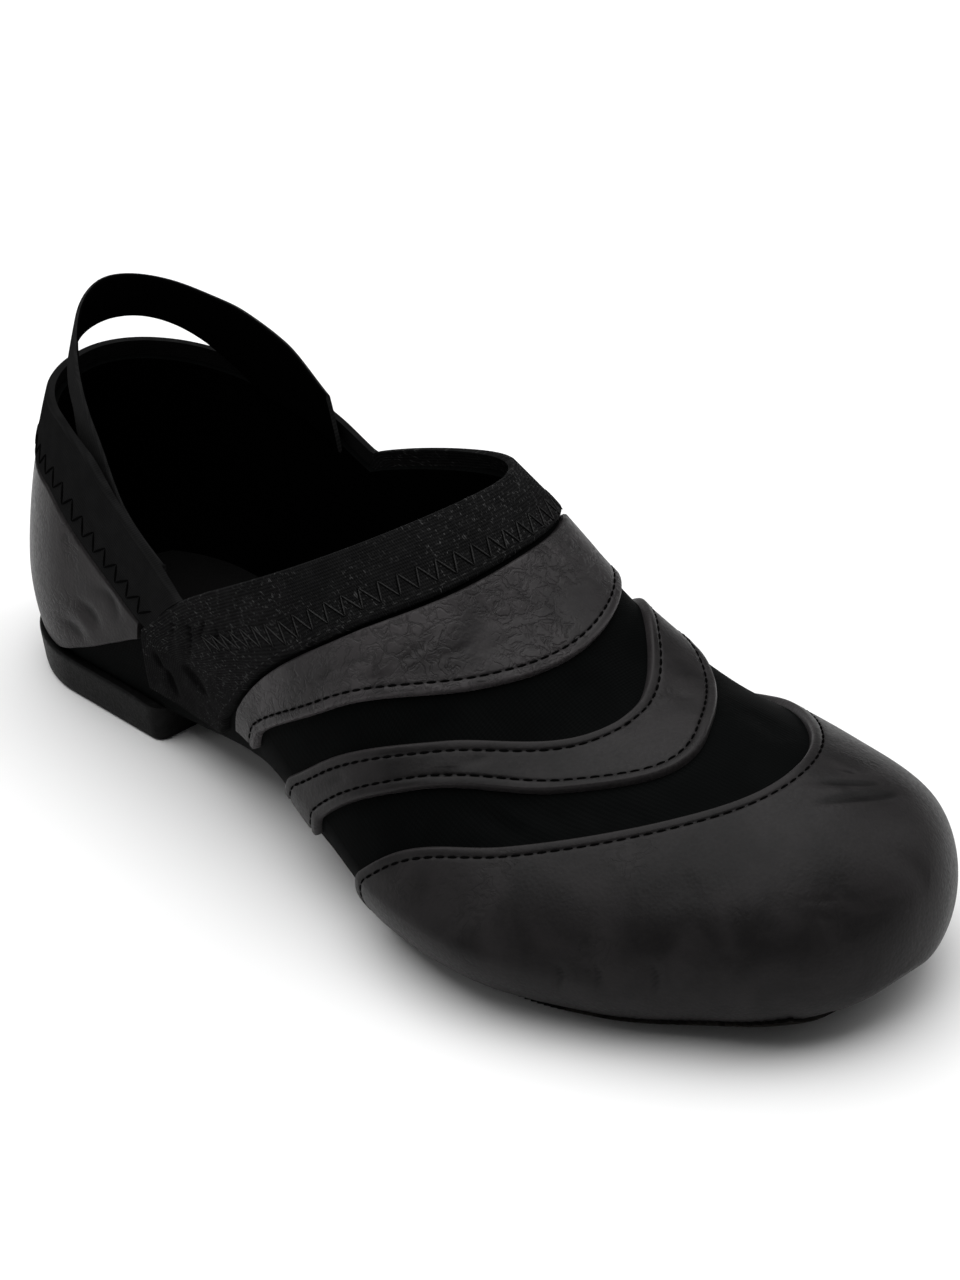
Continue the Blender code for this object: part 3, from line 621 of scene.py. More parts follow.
    def edge(self, wrap: Array, inset: float) -> Array:
        """Share of the length of the opening's front edge at each wrap.

        Args:
            wrap: Wraps round the section.
            inset: Distance by which the edge is set forward.

        Returns:
            The shares.
        """
        wrap = np.asarray(wrap, float)
        out = np.empty_like(wrap)
        for side in Side:
            here = (wrap < 0) == (side is Side.OUTER)
            turn = np.clip(1 - np.abs(wrap[here]), self.side_turn(side, inset), 1)
            out[here] = self.collar_share(turn, side, inset)
        return out

    def tuck_under(self, turn: Array, share: Array) -> Array:
        """Turn of a low level, which reaches the middle of the bottom under the very tip."""
        s = self.shares
        low = s.cap_low_turn + (-1 - s.cap_low_turn) * smooth_step(
            (share - s.tuck_start) / (s.tuck_end - s.tuck_start))
        above = turn * low / s.cap_low_turn
        below = low + (turn - s.cap_low_turn) * (-1 - low) / (-1 - s.cap_low_turn)
        return np.where(turn >= 0, turn, np.where(turn >= s.cap_low_turn, above, below))


@dataclass(frozen=True)
class Fold:
    """A soft trough (negative height) or ridge (positive) between two places of the last."""

    share_a: float
    wrap_a: float
    share_b: float
    wrap_b: float
    height: float
    width: float

    def relief(self, last: Last, points: Array) -> Array:
        """Height of this fold at points.

        Args:
            last: The last that carries the fold.
            points: Points on its surface.

        Returns:
            The added height along the normal.
        """
        way = np.linspace(0, 1, FOLD_STEPS)
        bend = FOLD_BEND * np.sin(way * math.pi)
        share = self.share_a + (self.share_b - self.share_a) * way + bend * FOLD_BEND_SHARE
        wrap = self.wrap_a + (self.wrap_b - self.wrap_a) * way + bend
        path = last.point(share, wrap)
        low, high = path.min(axis=0) - self.width * 4, path.max(axis=0) + self.width * 4
        near = np.all((points > low) & (points < high), axis=-1)
        out = np.zeros(points.shape[:-1])
        if not near.any():
            return out
        chosen = points[near]
        best = np.full(len(chosen), 1.0)
        fade = np.zeros(len(chosen))
        for k in range(len(path) - 1):
            a, b = path[k], path[k + 1]
            t = np.clip(((chosen - a) @ (b - a)) / max(float((b - a) @ (b - a)), TINY), 0, 1)
            gap = np.linalg.norm(chosen - (a + t[:, None] * (b - a)), axis=1)
            closer = gap < best
            best = np.where(closer, gap, best)
            place = (k + t) / (len(path) - 1)
            fade = np.where(closer, np.sin(math.pi * (FOLD_END + (1 - 2 * FOLD_END) * place)), fade)
        out[near] = self.height * fade * np.exp(-((best / self.width) ** 2))
        return out


def folds_of(piece: str) -> list[Fold]:
    """Folds of a piece, from the table."""
    return [Fold(*places, height * MM, width * MM) for *places, height, width in FOLDS.get(piece, ())]


@dataclass
class Grid:
    """Places of a wall on the last, with its two offsets and its own coordinates."""

    share: Array
    wrap: Array
    outer: Array
    inner: Array
    u: Array
    v: Array
    rim: Array = field(default_factory=lambda: np.zeros(0))


@dataclass(frozen=True)
class StripProfile:
    """Cross profile of a strip: how its wall, rims and stitched grooves run from edge to edge."""

    base: float
    thickness: float
    start_fold: float = 0.0
    end_fold: float = 0.0
    fold_width: float = 2.35 * MM
    groove: float = 0.0
    round_over: float = 0.7 * MM
    rows: int = 26
    floor: float = 0.05 * MM
    foot: float = 0.1 * MM
    free: bool = False
    soft: float = 0.42
    fold_start: float = 0.72
    fold_run: float = 0.30
    groove_width: float = 0.30 * MM

    def marks(self, folded: float) -> Array:
        """Distances from an edge at which rows are placed."""
        near = np.array(EDGE_MARKS) * self.round_over
        if folded > 0 or self.groove > 0:
            near = np.concatenate([near, np.array(FOLD_MARKS) * self.fold_width])
        return near

    def rise(self, start: Array, end: Array) -> Array:
        """Rise of the rounded edges, from 0 at an edge to 1 inside."""
        near = np.clip(np.minimum(start, end) / self.round_over, 0, 1)
        return np.sqrt(np.clip(1 - (1 - near) ** 2, 0, 1))

    def under(self, start: Array, end: Array) -> Array:
        """Inner offset at distances from the two edges."""
        if not self.free:
            return np.full_like(start, self.floor)
        return self.floor + self.soft * self.thickness * (1 - self.rise(start, end))

    def height(self, start: Array, end: Array) -> Array:
        """Outer offset of the wall.

        Args:
            start: Distances from the first edge.
            end: Distances from the last edge.

        Returns:
            The offsets, with rims and stitched grooves.
        """
        rise = self.rise(start, end)
        if self.free:
            return self.floor + self.thickness * (1 - self.soft + self.soft * rise)
        low = self.floor + self.foot
        out = low + (self.base + self.thickness - low) * rise
        for distance, fold in ((start, self.start_fold), (end, self.end_fold)):
            if fold > 0:
                beyond = (distance / self.fold_width - self.fold_start) / self.fold_run
                out = out + fold * (1 - smooth_step(beyond)) * rise
                aside = (distance - self.fold_width) / self.groove_width
                out = out - self.groove * np.exp(-(aside ** 2))
        return out


class Strip:
    """A strip of the last's surface between two edges, measured by real distances from them."""

    def __init__(self, last: Last, ts: Array, place: Place) -> None:
        """Measure the strip.

        Args:
            last: The last that carries it.
            ts: Positions of its columns.
            place: Share and wrap at a column's position and a fraction of the way across.
        """
        self.last, self.ts, self.place = last, ts, place
        self.f = np.linspace(0, 1, CROSS_STEPS)
        points = last.point(*place(*np.broadcast_arrays(ts[None, :], self.f[:, None])))
        steps = np.linalg.norm(np.diff(points, axis=0), axis=2)
        self.cum = np.concatenate([np.zeros((1, len(ts))), np.cumsum(steps, axis=0)])
        self.length = self.cum[-1]
        self.start_scale = self._scale(points[0], points[2] - points[0])
        self.end_scale = self._scale(points[-1], points[-3] - points[-1])
        self.u = travel(points[CROSS_STEPS // 2])

    @staticmethod
    def _scale(edge: Array, inward: Array) -> Array:
        """Way across the strip for each unit of distance from an edge, where they aren't square."""
        sine = np.linalg.norm(np.cross(unit(np.gradient(edge, axis=0)), unit(inward)), axis=1)
        even = np.convolve(np.pad(sine, 2, mode="edge"), np.ones(5) / 5, mode="valid")
        return 1 / np.clip(even, LEAST_SINE, 1.0)

    def at(self, position: Array) -> tuple[Array, Array]:
        """Share and wrap at distances along each column (rows by columns)."""
        f = np.empty_like(position)
        for j in range(position.shape[1]):
            f[:, j] = np.interp(position[:, j], self.cum[:, j], self.f)
        return self.place(self.ts[None, :] + 0 * f, f)

    def grid(self, profile: StripProfile, fine_end: bool = True) -> Grid:
        """Grid of the strip with a profile.

        Args:
            profile: Cross profile.
            fine_end: True where the last edge gets rows for its rim, as the first one does.

        Returns:
            The grid, with the outer offset from the profile.
        """
        start = profile.marks(profile.start_fold)
        end = profile.marks(profile.end_fold) if fine_end else np.array([0.0])
        head = start[:, None] * self.start_scale
        tail = end[::-1, None] * self.end_scale
        squeeze = np.minimum(1.0, self.length * STRIP_ROOM / np.maximum(head[-1] + tail[0], TINY))
        head = head * squeeze
        tail = self.length - tail * squeeze
        inside = np.linspace(0, 1, profile.rows + 2)[1:-1, None]
        position = np.concatenate([head, head[-1] + (tail[0] - head[-1]) * inside, tail])
        share, wrap = self.at(position)
        from_start = position / (self.start_scale * squeeze)
        from_end = (self.length - position) / (self.end_scale * squeeze)
        if not fine_end:
            from_end = np.full_like(from_end, FAR)
        outer = profile.height(from_start, from_end)
        rim = np.zeros_like(outer)
        for distance, fold in ((from_start, profile.start_fold), (from_end, profile.end_fold)):
            if fold > 0:
                beyond = distance / profile.fold_width / RIM_REACH - RIM_LEAD
                rim = np.maximum(rim, 1 - smooth_step(beyond))
        inner = profile.under(from_start, from_end)
        return Grid(share, wrap, outer, inner, np.broadcast_to(self.u, outer.shape), from_start, rim)

    def run(self, distance: float, from_end: bool, height: float) -> Line:
        """Line of points and normals at a distance from an edge and a height above the last."""
        position = (self.length - distance * self.end_scale if from_end
                    else distance * self.start_scale)
        share, wrap = self.at(np.clip(position[None, :], 0, self.length))
        normals = self.last.normal(share, wrap)[0]
        return self.last.point(share, wrap)[0] + normals * height, normals


class Shader:
    """A procedural material that is put together node by node."""

    def __init__(self, name: str) -> None:
        """Start a material with its coordinates."""
        self.material = bpy.data.materials.new(name)
        self.material.use_nodes = True
        self.tree = self.material.node_tree
        self.bsdf = self.tree.nodes["Principled BSDF"]
        self.coords = self.tree.nodes.new("ShaderNodeTexCoord").outputs["Object"]
        self.uv = self.add("ShaderNodeUVMap", props={"uv_map": "Surface"})

    def feed(self, socket: bpy.types.NodeSocket, value) -> None:
        """Link a socket to an input, or set the input's plain value."""
        if isinstance(value, bpy.types.NodeSocket):
            self.tree.links.new(value, socket)
        else:
            socket.default_value = value

    def add(self, kind: str, out: Optional[str] = None, props: Optional[dict] = None, **inputs):
        """Add a node.

        Args:
            kind: Node type.
            out: Name of the output to return; the first one if None.
            props: Node properties.
            **inputs: Input values or sockets by name, with _ for a space.

        Returns:
            The output socket.
        """
        node = self.tree.nodes.new(kind)
        for key, value in (props or {}).items():
            setattr(node, key, value)
        for key, value in inputs.items():
            self.feed(node.inputs[key.replace("_", " ")], value)
        return node.outputs[out] if out else node.outputs[0]

    def math(self, operation: str, a, b=0.0):
        """Arithmetic on two values or sockets."""
        node = self.tree.nodes.new("ShaderNodeMath")
        node.operation = operation
        for socket, value in zip(node.inputs, (a, b)):
            self.feed(socket, value)
        return node.outputs[0]

    def times(self, a, b):
        """Product of two values or sockets."""
        return self.math("MULTIPLY", a, b)

    def plus(self, a, b):
        """Sum of two values or sockets."""
        return self.math("ADD", a, b)

    def mix(self, factor, a, b):
        """Colour between two colours."""
        node = self.tree.nodes.new("ShaderNodeMix")
        node.data_type = "RGBA"
        for index, value in ((0, factor), (6, a), (7, b)):
            self.feed(node.inputs[index], (*value, 1.0) if isinstance(value, tuple) else value)
        return node.outputs[2]

    def span(self, value, low: float, high: float, to_low: float = 0.0, to_high: float = 1.0):
        """Value mapped from one range to another, smoothly and kept within it."""
        return self.add(
            "ShaderNodeMapRange", props={"interpolation_type": "SMOOTHSTEP"}, Value=value,
            From_Min=low, From_Max=high, To_Min=to_low, To_Max=to_high)

    def noise(self, scale: float, detail: float = 2.0, distortion: float = 0.0, vector=None):
        """Noise in the object's coordinates, about 0.5."""
        return self.add("ShaderNodeTexNoise", "Fac", Vector=vector or self.coords, Scale=scale,
                        Detail=detail, Distortion=distortion)

    def wave(self, period: float, direction: str, distortion: float = 0.0):
        """Sine ribs on the piece's own coordinates, with a period in metres."""
        return self.add("ShaderNodeTexWave", "Fac", props={"bands_direction": direction},
                        Vector=self.uv, Scale=WAVE_SCALE / period, Distortion=distortion, Detail=1.0)

    def attribute(self, name: str):
        """Value of a mesh attribute."""
        return self.add("ShaderNodeAttribute", "Fac", props={"attribute_name": name})

    def bump(self, height, distance: float, strength: float, below=None):
        """Bump from a height, on top of another bump."""
        under = {} if below is None else {"Normal": below}
        return self.add("ShaderNodeBump", Height=height, Distance=distance, Strength=strength, **under)

    def finish(self, colour, roughness, normal, gloss: float) -> bpy.types.Material:
        """Feed the shader and return the finished material."""
        for key, value in (("Base Color", colour), ("Roughness", roughness), ("Normal", normal),
                           ("Specular IOR Level", gloss)):
            self.feed(self.bsdf.inputs[key], value)
        return self.material


@dataclass(frozen=True)
class Finish:
    """How one material looks: its two tones, roughness, bump depth, flecks, wrinkles and gloss."""

    name: str
    surface: Surface
    dark: Colour
    light: Colour
    roughness: float
    depth: float = 1.0
    flecks: float = 0.0
    wrinkles: float = 1.0
    gloss: float = 0.0

    def build(self) -> bpy.types.Material:
        """Make the material.

        Returns:
            The material.
        """
        maker = {
            Surface.LEATHER: self._leather,
            Surface.CLOTH: self._cloth,
            Surface.ELASTIC: self._elastic,
            Surface.SUEDE: self._suede,
            Surface.RUBBER: self._rubber,
            Surface.THREAD: self._thread,
        }[self.surface]
        s = Shader(self.name)
        return s.finish(*maker(s), self.gloss)

    def _paint_crease_shade(self, s: Shader, tone, strength: float):
        """Painted shade: darken a tone where the folds are deep."""
        deep = s.span(s.attribute("crease"), 0.25, 0.95)
        return s.mix(s.times(deep, strength), tone, tuple(c * 0.25 for c in self.dark))

    def _leather(self, s: Shader) -> tuple:
        """Grain with fine wrinkles in patches, painted shade in the wrinkles and creases, and lighter
        rims, partly wear and partly a painted highlight.

        Args:
            s: Shader to add to.

        Returns:
            Colour, roughness and normal.
        """
        cloud = s.noise(62.0, 4.0, 0.8)
        fine = s.noise(1300.0, 4.0)
        pores = s.add("ShaderNodeTexVoronoi", "Distance", Vector=s.coords, Scale=1250.0)
        ridge = s.math("ABSOLUTE", s.math("SUBTRACT", s.noise(340.0, 6.0, 0.7), 0.5))
        where = s.span(s.noise(60.0, 2.0), 0.56 - 0.07 * self.wrinkles, 0.70 - 0.04 * self.wrinkles)
        wrinkle = s.times(s.math("SUBTRACT", 1.0, s.span(ridge, 0.0, 0.085)), where)
        grain = s.plus(s.times(pores, 0.55), s.times(fine, 0.55))
        normal = s.bump(grain, 0.00010 * self.depth, 0.55)
        normal = s.bump(s.times(wrinkle, -1.0), 0.00016 * self.wrinkles, 0.50, normal)
        normal = s.bump(s.noise(120.0, 2.0, 0.4), 0.00050, 0.35, normal)
        tone = s.mix(s.span(cloud, 0.3, 0.7), self.dark, self.light)
        # Painted shade: darker in the wrinkle troughs, then in the deep narrow folds.
        tone = s.mix(s.times(wrinkle, 0.35), tone, tuple(c * 0.55 for c in self.dark))
        tone = self._paint_crease_shade(s, tone, 0.75)
        # Lighter folded rims: partly wear, partly a painted highlight of the rounded fold.
        rim_wear_and_highlight = s.times(s.span(s.attribute("rim"), 0.55, 1.0), s.span(fine, 0.25, 0.75, 0.35, 0.75))
        tone = s.mix(rim_wear_and_highlight, tone, tuple(c * 1.7 for c in self.light))
        rough = s.span(s.plus(fine, s.times(cloud, 0.6)), 0.5, 1.1,
                       self.roughness - 0.06, self.roughness + 0.09)
        return tone, rough, normal

    def _cloth(self, s: Shader) -> tuple:
        """Fine knit with ribs along and across.

        Args:
            s: Shader to add to.

        Returns:
            Colour, roughness and normal.
        """
        ribs = s.wave(0.00055, "Y", 0.6)
        weave = s.plus(s.times(ribs, 0.6), s.times(s.wave(0.00080, "X", 0.8), 0.4))
        normal = s.bump(weave, 0.00009 * self.depth, 0.5)
        normal = s.bump(s.noise(140.0, 2.0), 0.0004, 0.3, normal)
        patchy = s.times(weave, s.span(s.noise(90.0, 2.0), 0.3, 0.7, 0.5, 1.0))
        tone = s.mix(patchy, self.dark, self.light)
        return tone, s.span(ribs, 0.0, 1.0, self.roughness, self.roughness + 0.12), normal

    def _elastic(self, s: Shader) -> tuple:
        """Ribbed elastic, with light flecks where the finish has them.

        Args:
            s: Shader to add to.

        Returns:
            Colour, roughness and normal.
        """
        threads = s.wave(0.00046, "X", 1.5)
        weave = s.plus(s.times(s.wave(0.00070, "Y", 0.5), 0.40), s.times(threads, 0.35))
        weave = s.plus(weave, s.times(s.span(s.noise(260.0, 3.0), 0.35, 0.7), 0.25))
        normal = s.bump(weave, 0.00018 * self.depth, 0.75)
        slanted = s.add("ShaderNodeMapping", Vector=s.uv, Scale=(1.0, 0.7, 1.0),
                        Rotation=(0.0, 0.0, 0.6))
        specks = s.noise(1700.0, 2.0, 0.6, slanted)
        fleck = s.times(s.span(specks, 0.56, 0.72), s.span(threads, 0.20, 0.7, 0.3, 1.0))
        fleck = s.times(fleck, s.span(s.noise(70.0, 2.0), 0.36, 0.58, 0.15, 1.0))
        tone = s.mix(s.times(fleck, self.flecks), s.mix(weave, self.dark, self.light), FLECK)
        rough = s.span(weave, 0.2, 0.9, self.roughness + 0.1, self.roughness - 0.06)
        # Painted shade in the deep narrow folds of the elastic.
        return self._paint_crease_shade(s, tone, 0.8), rough, normal

    def _suede(self, s: Shader) -> tuple:
        """Rough nap with scuffs."""
        nap = s.noise(2200.0, 5.0)
        scuff = s.noise(160.0, 4.0, 1.0)
        normal = s.bump(s.plus(nap, s.times(scuff, 0.8)), 0.00022 * self.depth, 0.7)
        tone = s.mix(s.span(scuff, 0.35, 0.7), self.dark, self.light)
        return tone, s.span(nap, 0.3, 0.7, self.roughness, self.roughness + 0.08), normal

    def _rubber(self, s: Shader) -> tuple:
        """Matt rubber, a little scuffed."""
        fine = s.noise(1700.0, 4.0)
        scuff = s.noise(240.0, 5.0, 1.5)
        normal = s.bump(scuff, 0.0002, 0.2, s.bump(fine, 0.00012 * self.depth, 0.6))
        tone = s.mix(s.span(scuff, 0.45, 0.75), self.dark, self.light)
        return tone, s.span(fine, 0.3, 0.7, self.roughness - 0.05, self.roughness + 0.08), normal

    def _thread(self, s: Shader) -> tuple:
        """Sewing thread with fine fibres."""
        fibre = s.noise(5200.0, 2.0)
        tone = s.mix(s.span(fibre, 0.3, 0.7), self.dark, self.light)
        return tone, self.roughness, s.bump(fibre, 0.00006, 0.6)


def grey(level: float) -> Colour:
    """Neutral tone of a level."""
    return level, level, level


class Palette(Enum):
    """The shoe's finishes."""

    LEATHER = Finish("charcoal_leather", Surface.LEATHER,
                     (0.0078, 0.0072, 0.0074), (0.0150, 0.0137, 0.0141), 0.42, wrinkles=0.45, gloss=0.10)
    THROAT = Finish("wrinkled_leather", Surface.LEATHER,
                    (0.0125, 0.0113, 0.0118), (0.0350, 0.0319, 0.0330), 0.43, wrinkles=3.4, gloss=0.15)
    COUNTER = Finish("smooth_leather", Surface.LEATHER,
                     (0.0140, 0.0127, 0.0132), (0.0230, 0.0209, 0.0216), 0.36, wrinkles=0.9, gloss=0.07)
    CLOTH = Finish("black_knit", Surface.CLOTH,
                   (0.0010, 0.0012, 0.0012), (0.0026, 0.0029, 0.0029), 0.62, gloss=0.012)
    LINING = Finish("black_lining", Surface.CLOTH, grey(0.0008), grey(0.0016), 0.90)
    FRONT = Finish("flecked_elastic", Surface.ELASTIC,
                   (0.0030, 0.0030, 0.0031), (0.0100, 0.0100, 0.0102), 0.80, flecks=0.8, gloss=0.012)
    REAR = Finish("ribbed_elastic", Surface.ELASTIC,
                  (0.0060, 0.0060, 0.0061), (0.0120, 0.0120, 0.0122), 0.82, depth=0.6)
    TAPE = Finish("woven_tape", Surface.ELASTIC,
                  (0.0095, 0.0095, 0.0096), (0.0190, 0.0190, 0.0192), 0.80, depth=0.6)
    SUEDE = Finish("rough_suede", Surface.SUEDE, (0.0050, 0.0047, 0.0044), (0.014, 0.013, 0.012), 0.88)
    RUBBER = Finish("matt_rubber", Surface.RUBBER, grey(0.0050), grey(0.0085), 0.46, gloss=0.05)
    INSOLE = Finish("dark_insole", Surface.CLOTH, grey(0.0050), grey(0.0085), 0.92)
    DARK_THREAD = Finish("dark_thread", Surface.THREAD, grey(0.0010), grey(0.003), 0.65)
    GREY_THREAD = Finish("grey_thread", Surface.THREAD, grey(0.014), grey(0.036), 0.70)

    def material(self) -> bpy.types.Material:
        """The finish's material, made once."""
        made = bpy.data.materials.get(self.value.name)
        return made if made is not None else self.value.build()


class Wall:
    """Mesh of a piece that is a closed wall between two offsets of the last."""

    def __init__(self, name: str, last: Last) -> None:
        """Start an empty wall, with the folds that the table gives the piece."""
        self.name, self.last, self.folds = name, last, folds_of(name)
        self.index: dict[tuple, int] = {}
        self.points: list[Array] = []
        self.normals: list[Array] = []
        self.data: list[tuple[float, ...]] = []
        self.faces: list[tuple[int, ...]] = []

    def add(self, grid: Grid) -> None:
        """Add a grid of places; equal places become one vertex.

        Args:
            grid: The places and offsets.
        """
        points = self.last.point(grid.share, grid.wrap)
        normals = self.last.normal(grid.share, grid.wrap)
        relief = np.zeros(points.shape[:-1])
        crease = np.zeros(points.shape[:-1])
        for fold in self.folds:
            height = fold.relief(self.last, points)
            relief += height
            # Narrow folds also write the mask of painted shade in their troughs.
            if fold.width < CREASE_WIDTH:
                crease -= height / CREASE_DEPTH
        rim = grid.rim if grid.rim.size else np.zeros_like(relief)
        layers = np.stack([grid.outer + relief, grid.inner + relief * INNER_RELIEF, grid.u, grid.v, rim,
                           np.clip(crease, 0, 1)], axis=-1)
        rows, columns = relief.shape
        numbers = np.empty((rows, columns), int)
        for i in range(rows):
            for j in range(columns):
                key = tuple(np.round(points[i, j], 7))
                if key in self.index:
                    k = self.index[key]
                    self.normals[k] = self.normals[k] + normals[i, j]
                else:
                    self.index[key] = len(self.points)
                    self.points.append(points[i, j])
                    self.normals.append(normals[i, j])
                    self.data.append(layers[i, j])
                numbers[i, j] = self.index[key]
        for i in range(rows - 1):
            for j in range(columns - 1):
                face = (numbers[i, j], numbers[i + 1, j], numbers[i + 1, j + 1], numbers[i, j + 1])
                face = tuple(n for k, n in enumerate(face) if n != face[k - 1])
                if len(set(face)) == len(face) and len(face) > 2:
                    self.faces.append(face)

    def build(self, outside: Palette, inside: Optional[Palette] = None) -> bpy.types.Object:
        """Make the object.

        Args:
            outside: Finish of the outer face and the rims.
            inside: Finish of the inner face; the outer one if None.

        Returns:
            The object, linked and smooth.
        """
        points, data = np.array(self.points), np.array(self.data)
        normals = unit(np.array(self.normals))
        count = len(points)
        vertices = np.concatenate([points + normals * data[:, :1], points + normals * data[:, 1:2]])
        used = {(face[k - 1], n) for face in self.faces for k, n in enumerate(face)}
        faces = [list(face) for face in self.faces]
        faces += [[n + count for n in reversed(face)] for face in self.faces]
        faces += [[b, a, a + count, b + count] for a, b in used if (b, a) not in used]
        mesh = bpy.data.meshes.new(self.name)
        mesh.from_pydata(vertices.tolist(), [], faces)
        uv = mesh.uv_layers.new(name="Surface")
        corner = np.empty(len(mesh.loops), np.int32)
        mesh.loops.foreach_get("vertex_index", corner)
        doubled = np.concatenate([data, data]).astype(np.float32)
        uv.data.foreach_set("uv", doubled[corner, 2:4].ravel())
        # The rim mask and the mask of painted shade in the folds, for the materials.
        for column, name in ((4, "rim"), (5, "crease")):
            layer = mesh.attributes.new(name, "FLOAT", "POINT")
            layer.data.foreach_set("value", doubled[:, column].copy())
        mesh.materials.append(outside.material())
        if inside is not None:
            mesh.materials.append(inside.material())
            which = np.zeros(len(mesh.polygons), np.int32)
            which[len(self.faces):2 * len(self.faces)] = 1
            mesh.polygons.foreach_set("material_index", which)
        shape = bmesh.new()
        shape.from_mesh(mesh)
        bmesh.ops.delete(shape, geom=[v for v in shape.verts if not v.link_faces], context="VERTS")
        shape.to_mesh(mesh)
        shape.free()
        mesh.shade_smooth()
        mesh.set_sharp_from_angle(angle=math.radians(WALL_SHARP))
        LOG.info("%s: %d faces", self.name, len(mesh.polygons))
        return place_object(self.name, mesh)


class StitchTree:
    """Geometry Nodes tree that sets a short thread on each point of a mesh."""

    def __init__(self) -> None:
        """Put the tree together."""
        self.tree = bpy.data.node_groups.new("StitchRun", "GeometryNodeTree")
        face = self.tree.interface
        face.new_socket("Geometry", in_out="INPUT", socket_type="NodeSocketGeometry")
        self.radius, self.seed, self.material = (
            face.new_socket(name, in_out="INPUT", socket_type=kind).identifier
            for name, kind in (("Thread radius", "NodeSocketFloat"), ("Seed", "NodeSocketInt"),
                               ("Material", "NodeSocketMaterial")))
        face.new_socket("Geometry", in_out="OUTPUT", socket_type="NodeSocketGeometry")
        entry, leave, points, ball, place, real, paint, smooth, scale, vary, thick, first, second = (
            self.tree.nodes.new(kind) for kind in (
                "NodeGroupInput", "NodeGroupOutput", "GeometryNodeMeshToPoints",
                "GeometryNodeMeshUVSphere", "GeometryNodeInstanceOnPoints", "GeometryNodeRealizeInstances",
                "GeometryNodeSetMaterial", "GeometryNodeSetShadeSmooth", "ShaderNodeCombineXYZ",
                "FunctionNodeRandomValue", "ShaderNodeMath", "FunctionNodeAlignRotationToVector",
                "FunctionNodeAlignRotationToVector"))
        for key, value in (("Segments", 8), ("Rings", 6), ("Radius", 1.0)):
            ball.inputs[key].default_value = value
        vary.data_type = "FLOAT"
        vary.inputs[2].default_value, vary.inputs[3].default_value = THREAD_SPREAD
        thick.operation = "MULTIPLY"
        first.axis, second.axis, second.pivot_axis = "X", "Z", "X"
        for source, socket in (
            (entry.outputs["Geometry"], points.inputs["Mesh"]),
            (points.outputs["Points"], place.inputs["Points"]),
            (ball.outputs["Mesh"], place.inputs["Instance"]),
            (self._attribute("along", "FLOAT_VECTOR"), first.inputs["Vector"]),
            (first.outputs["Rotation"], second.inputs["Rotation"]),
            (self._attribute("up", "FLOAT_VECTOR"), second.inputs["Vector"]),
            (second.outputs["Rotation"], place.inputs["Rotation"]),
            (entry.outputs["Seed"], vary.inputs["Seed"]),
            (vary.outputs[1], thick.inputs[0]),
            (entry.outputs["Thread radius"], thick.inputs[1]),
            (self._attribute("reach", "FLOAT"), scale.inputs["X"]),
            (thick.outputs[0], scale.inputs["Y"]),
            (entry.outputs["Thread radius"], scale.inputs["Z"]),
            (scale.outputs["Vector"], place.inputs["Scale"]),
            (place.outputs["Instances"], real.inputs["Geometry"]),
            (real.outputs["Geometry"], smooth.inputs["Geometry"]),
            (smooth.outputs["Geometry"], paint.inputs["Geometry"]),
            (entry.outputs["Material"], paint.inputs["Material"]),
            (paint.outputs["Geometry"], leave.inputs["Geometry"]),
        ):
            self.tree.links.new(source, socket)

    def _attribute(self, name: str, kind: str):
        """Output of a named attribute of the points."""
        node = self.tree.nodes.new("GeometryNodeInputNamedAttribute")
        node.data_type = kind
        node.inputs["Name"].default_value = name
        return [o for o in node.outputs if o.name == "Attribute" and o.enabled][0]


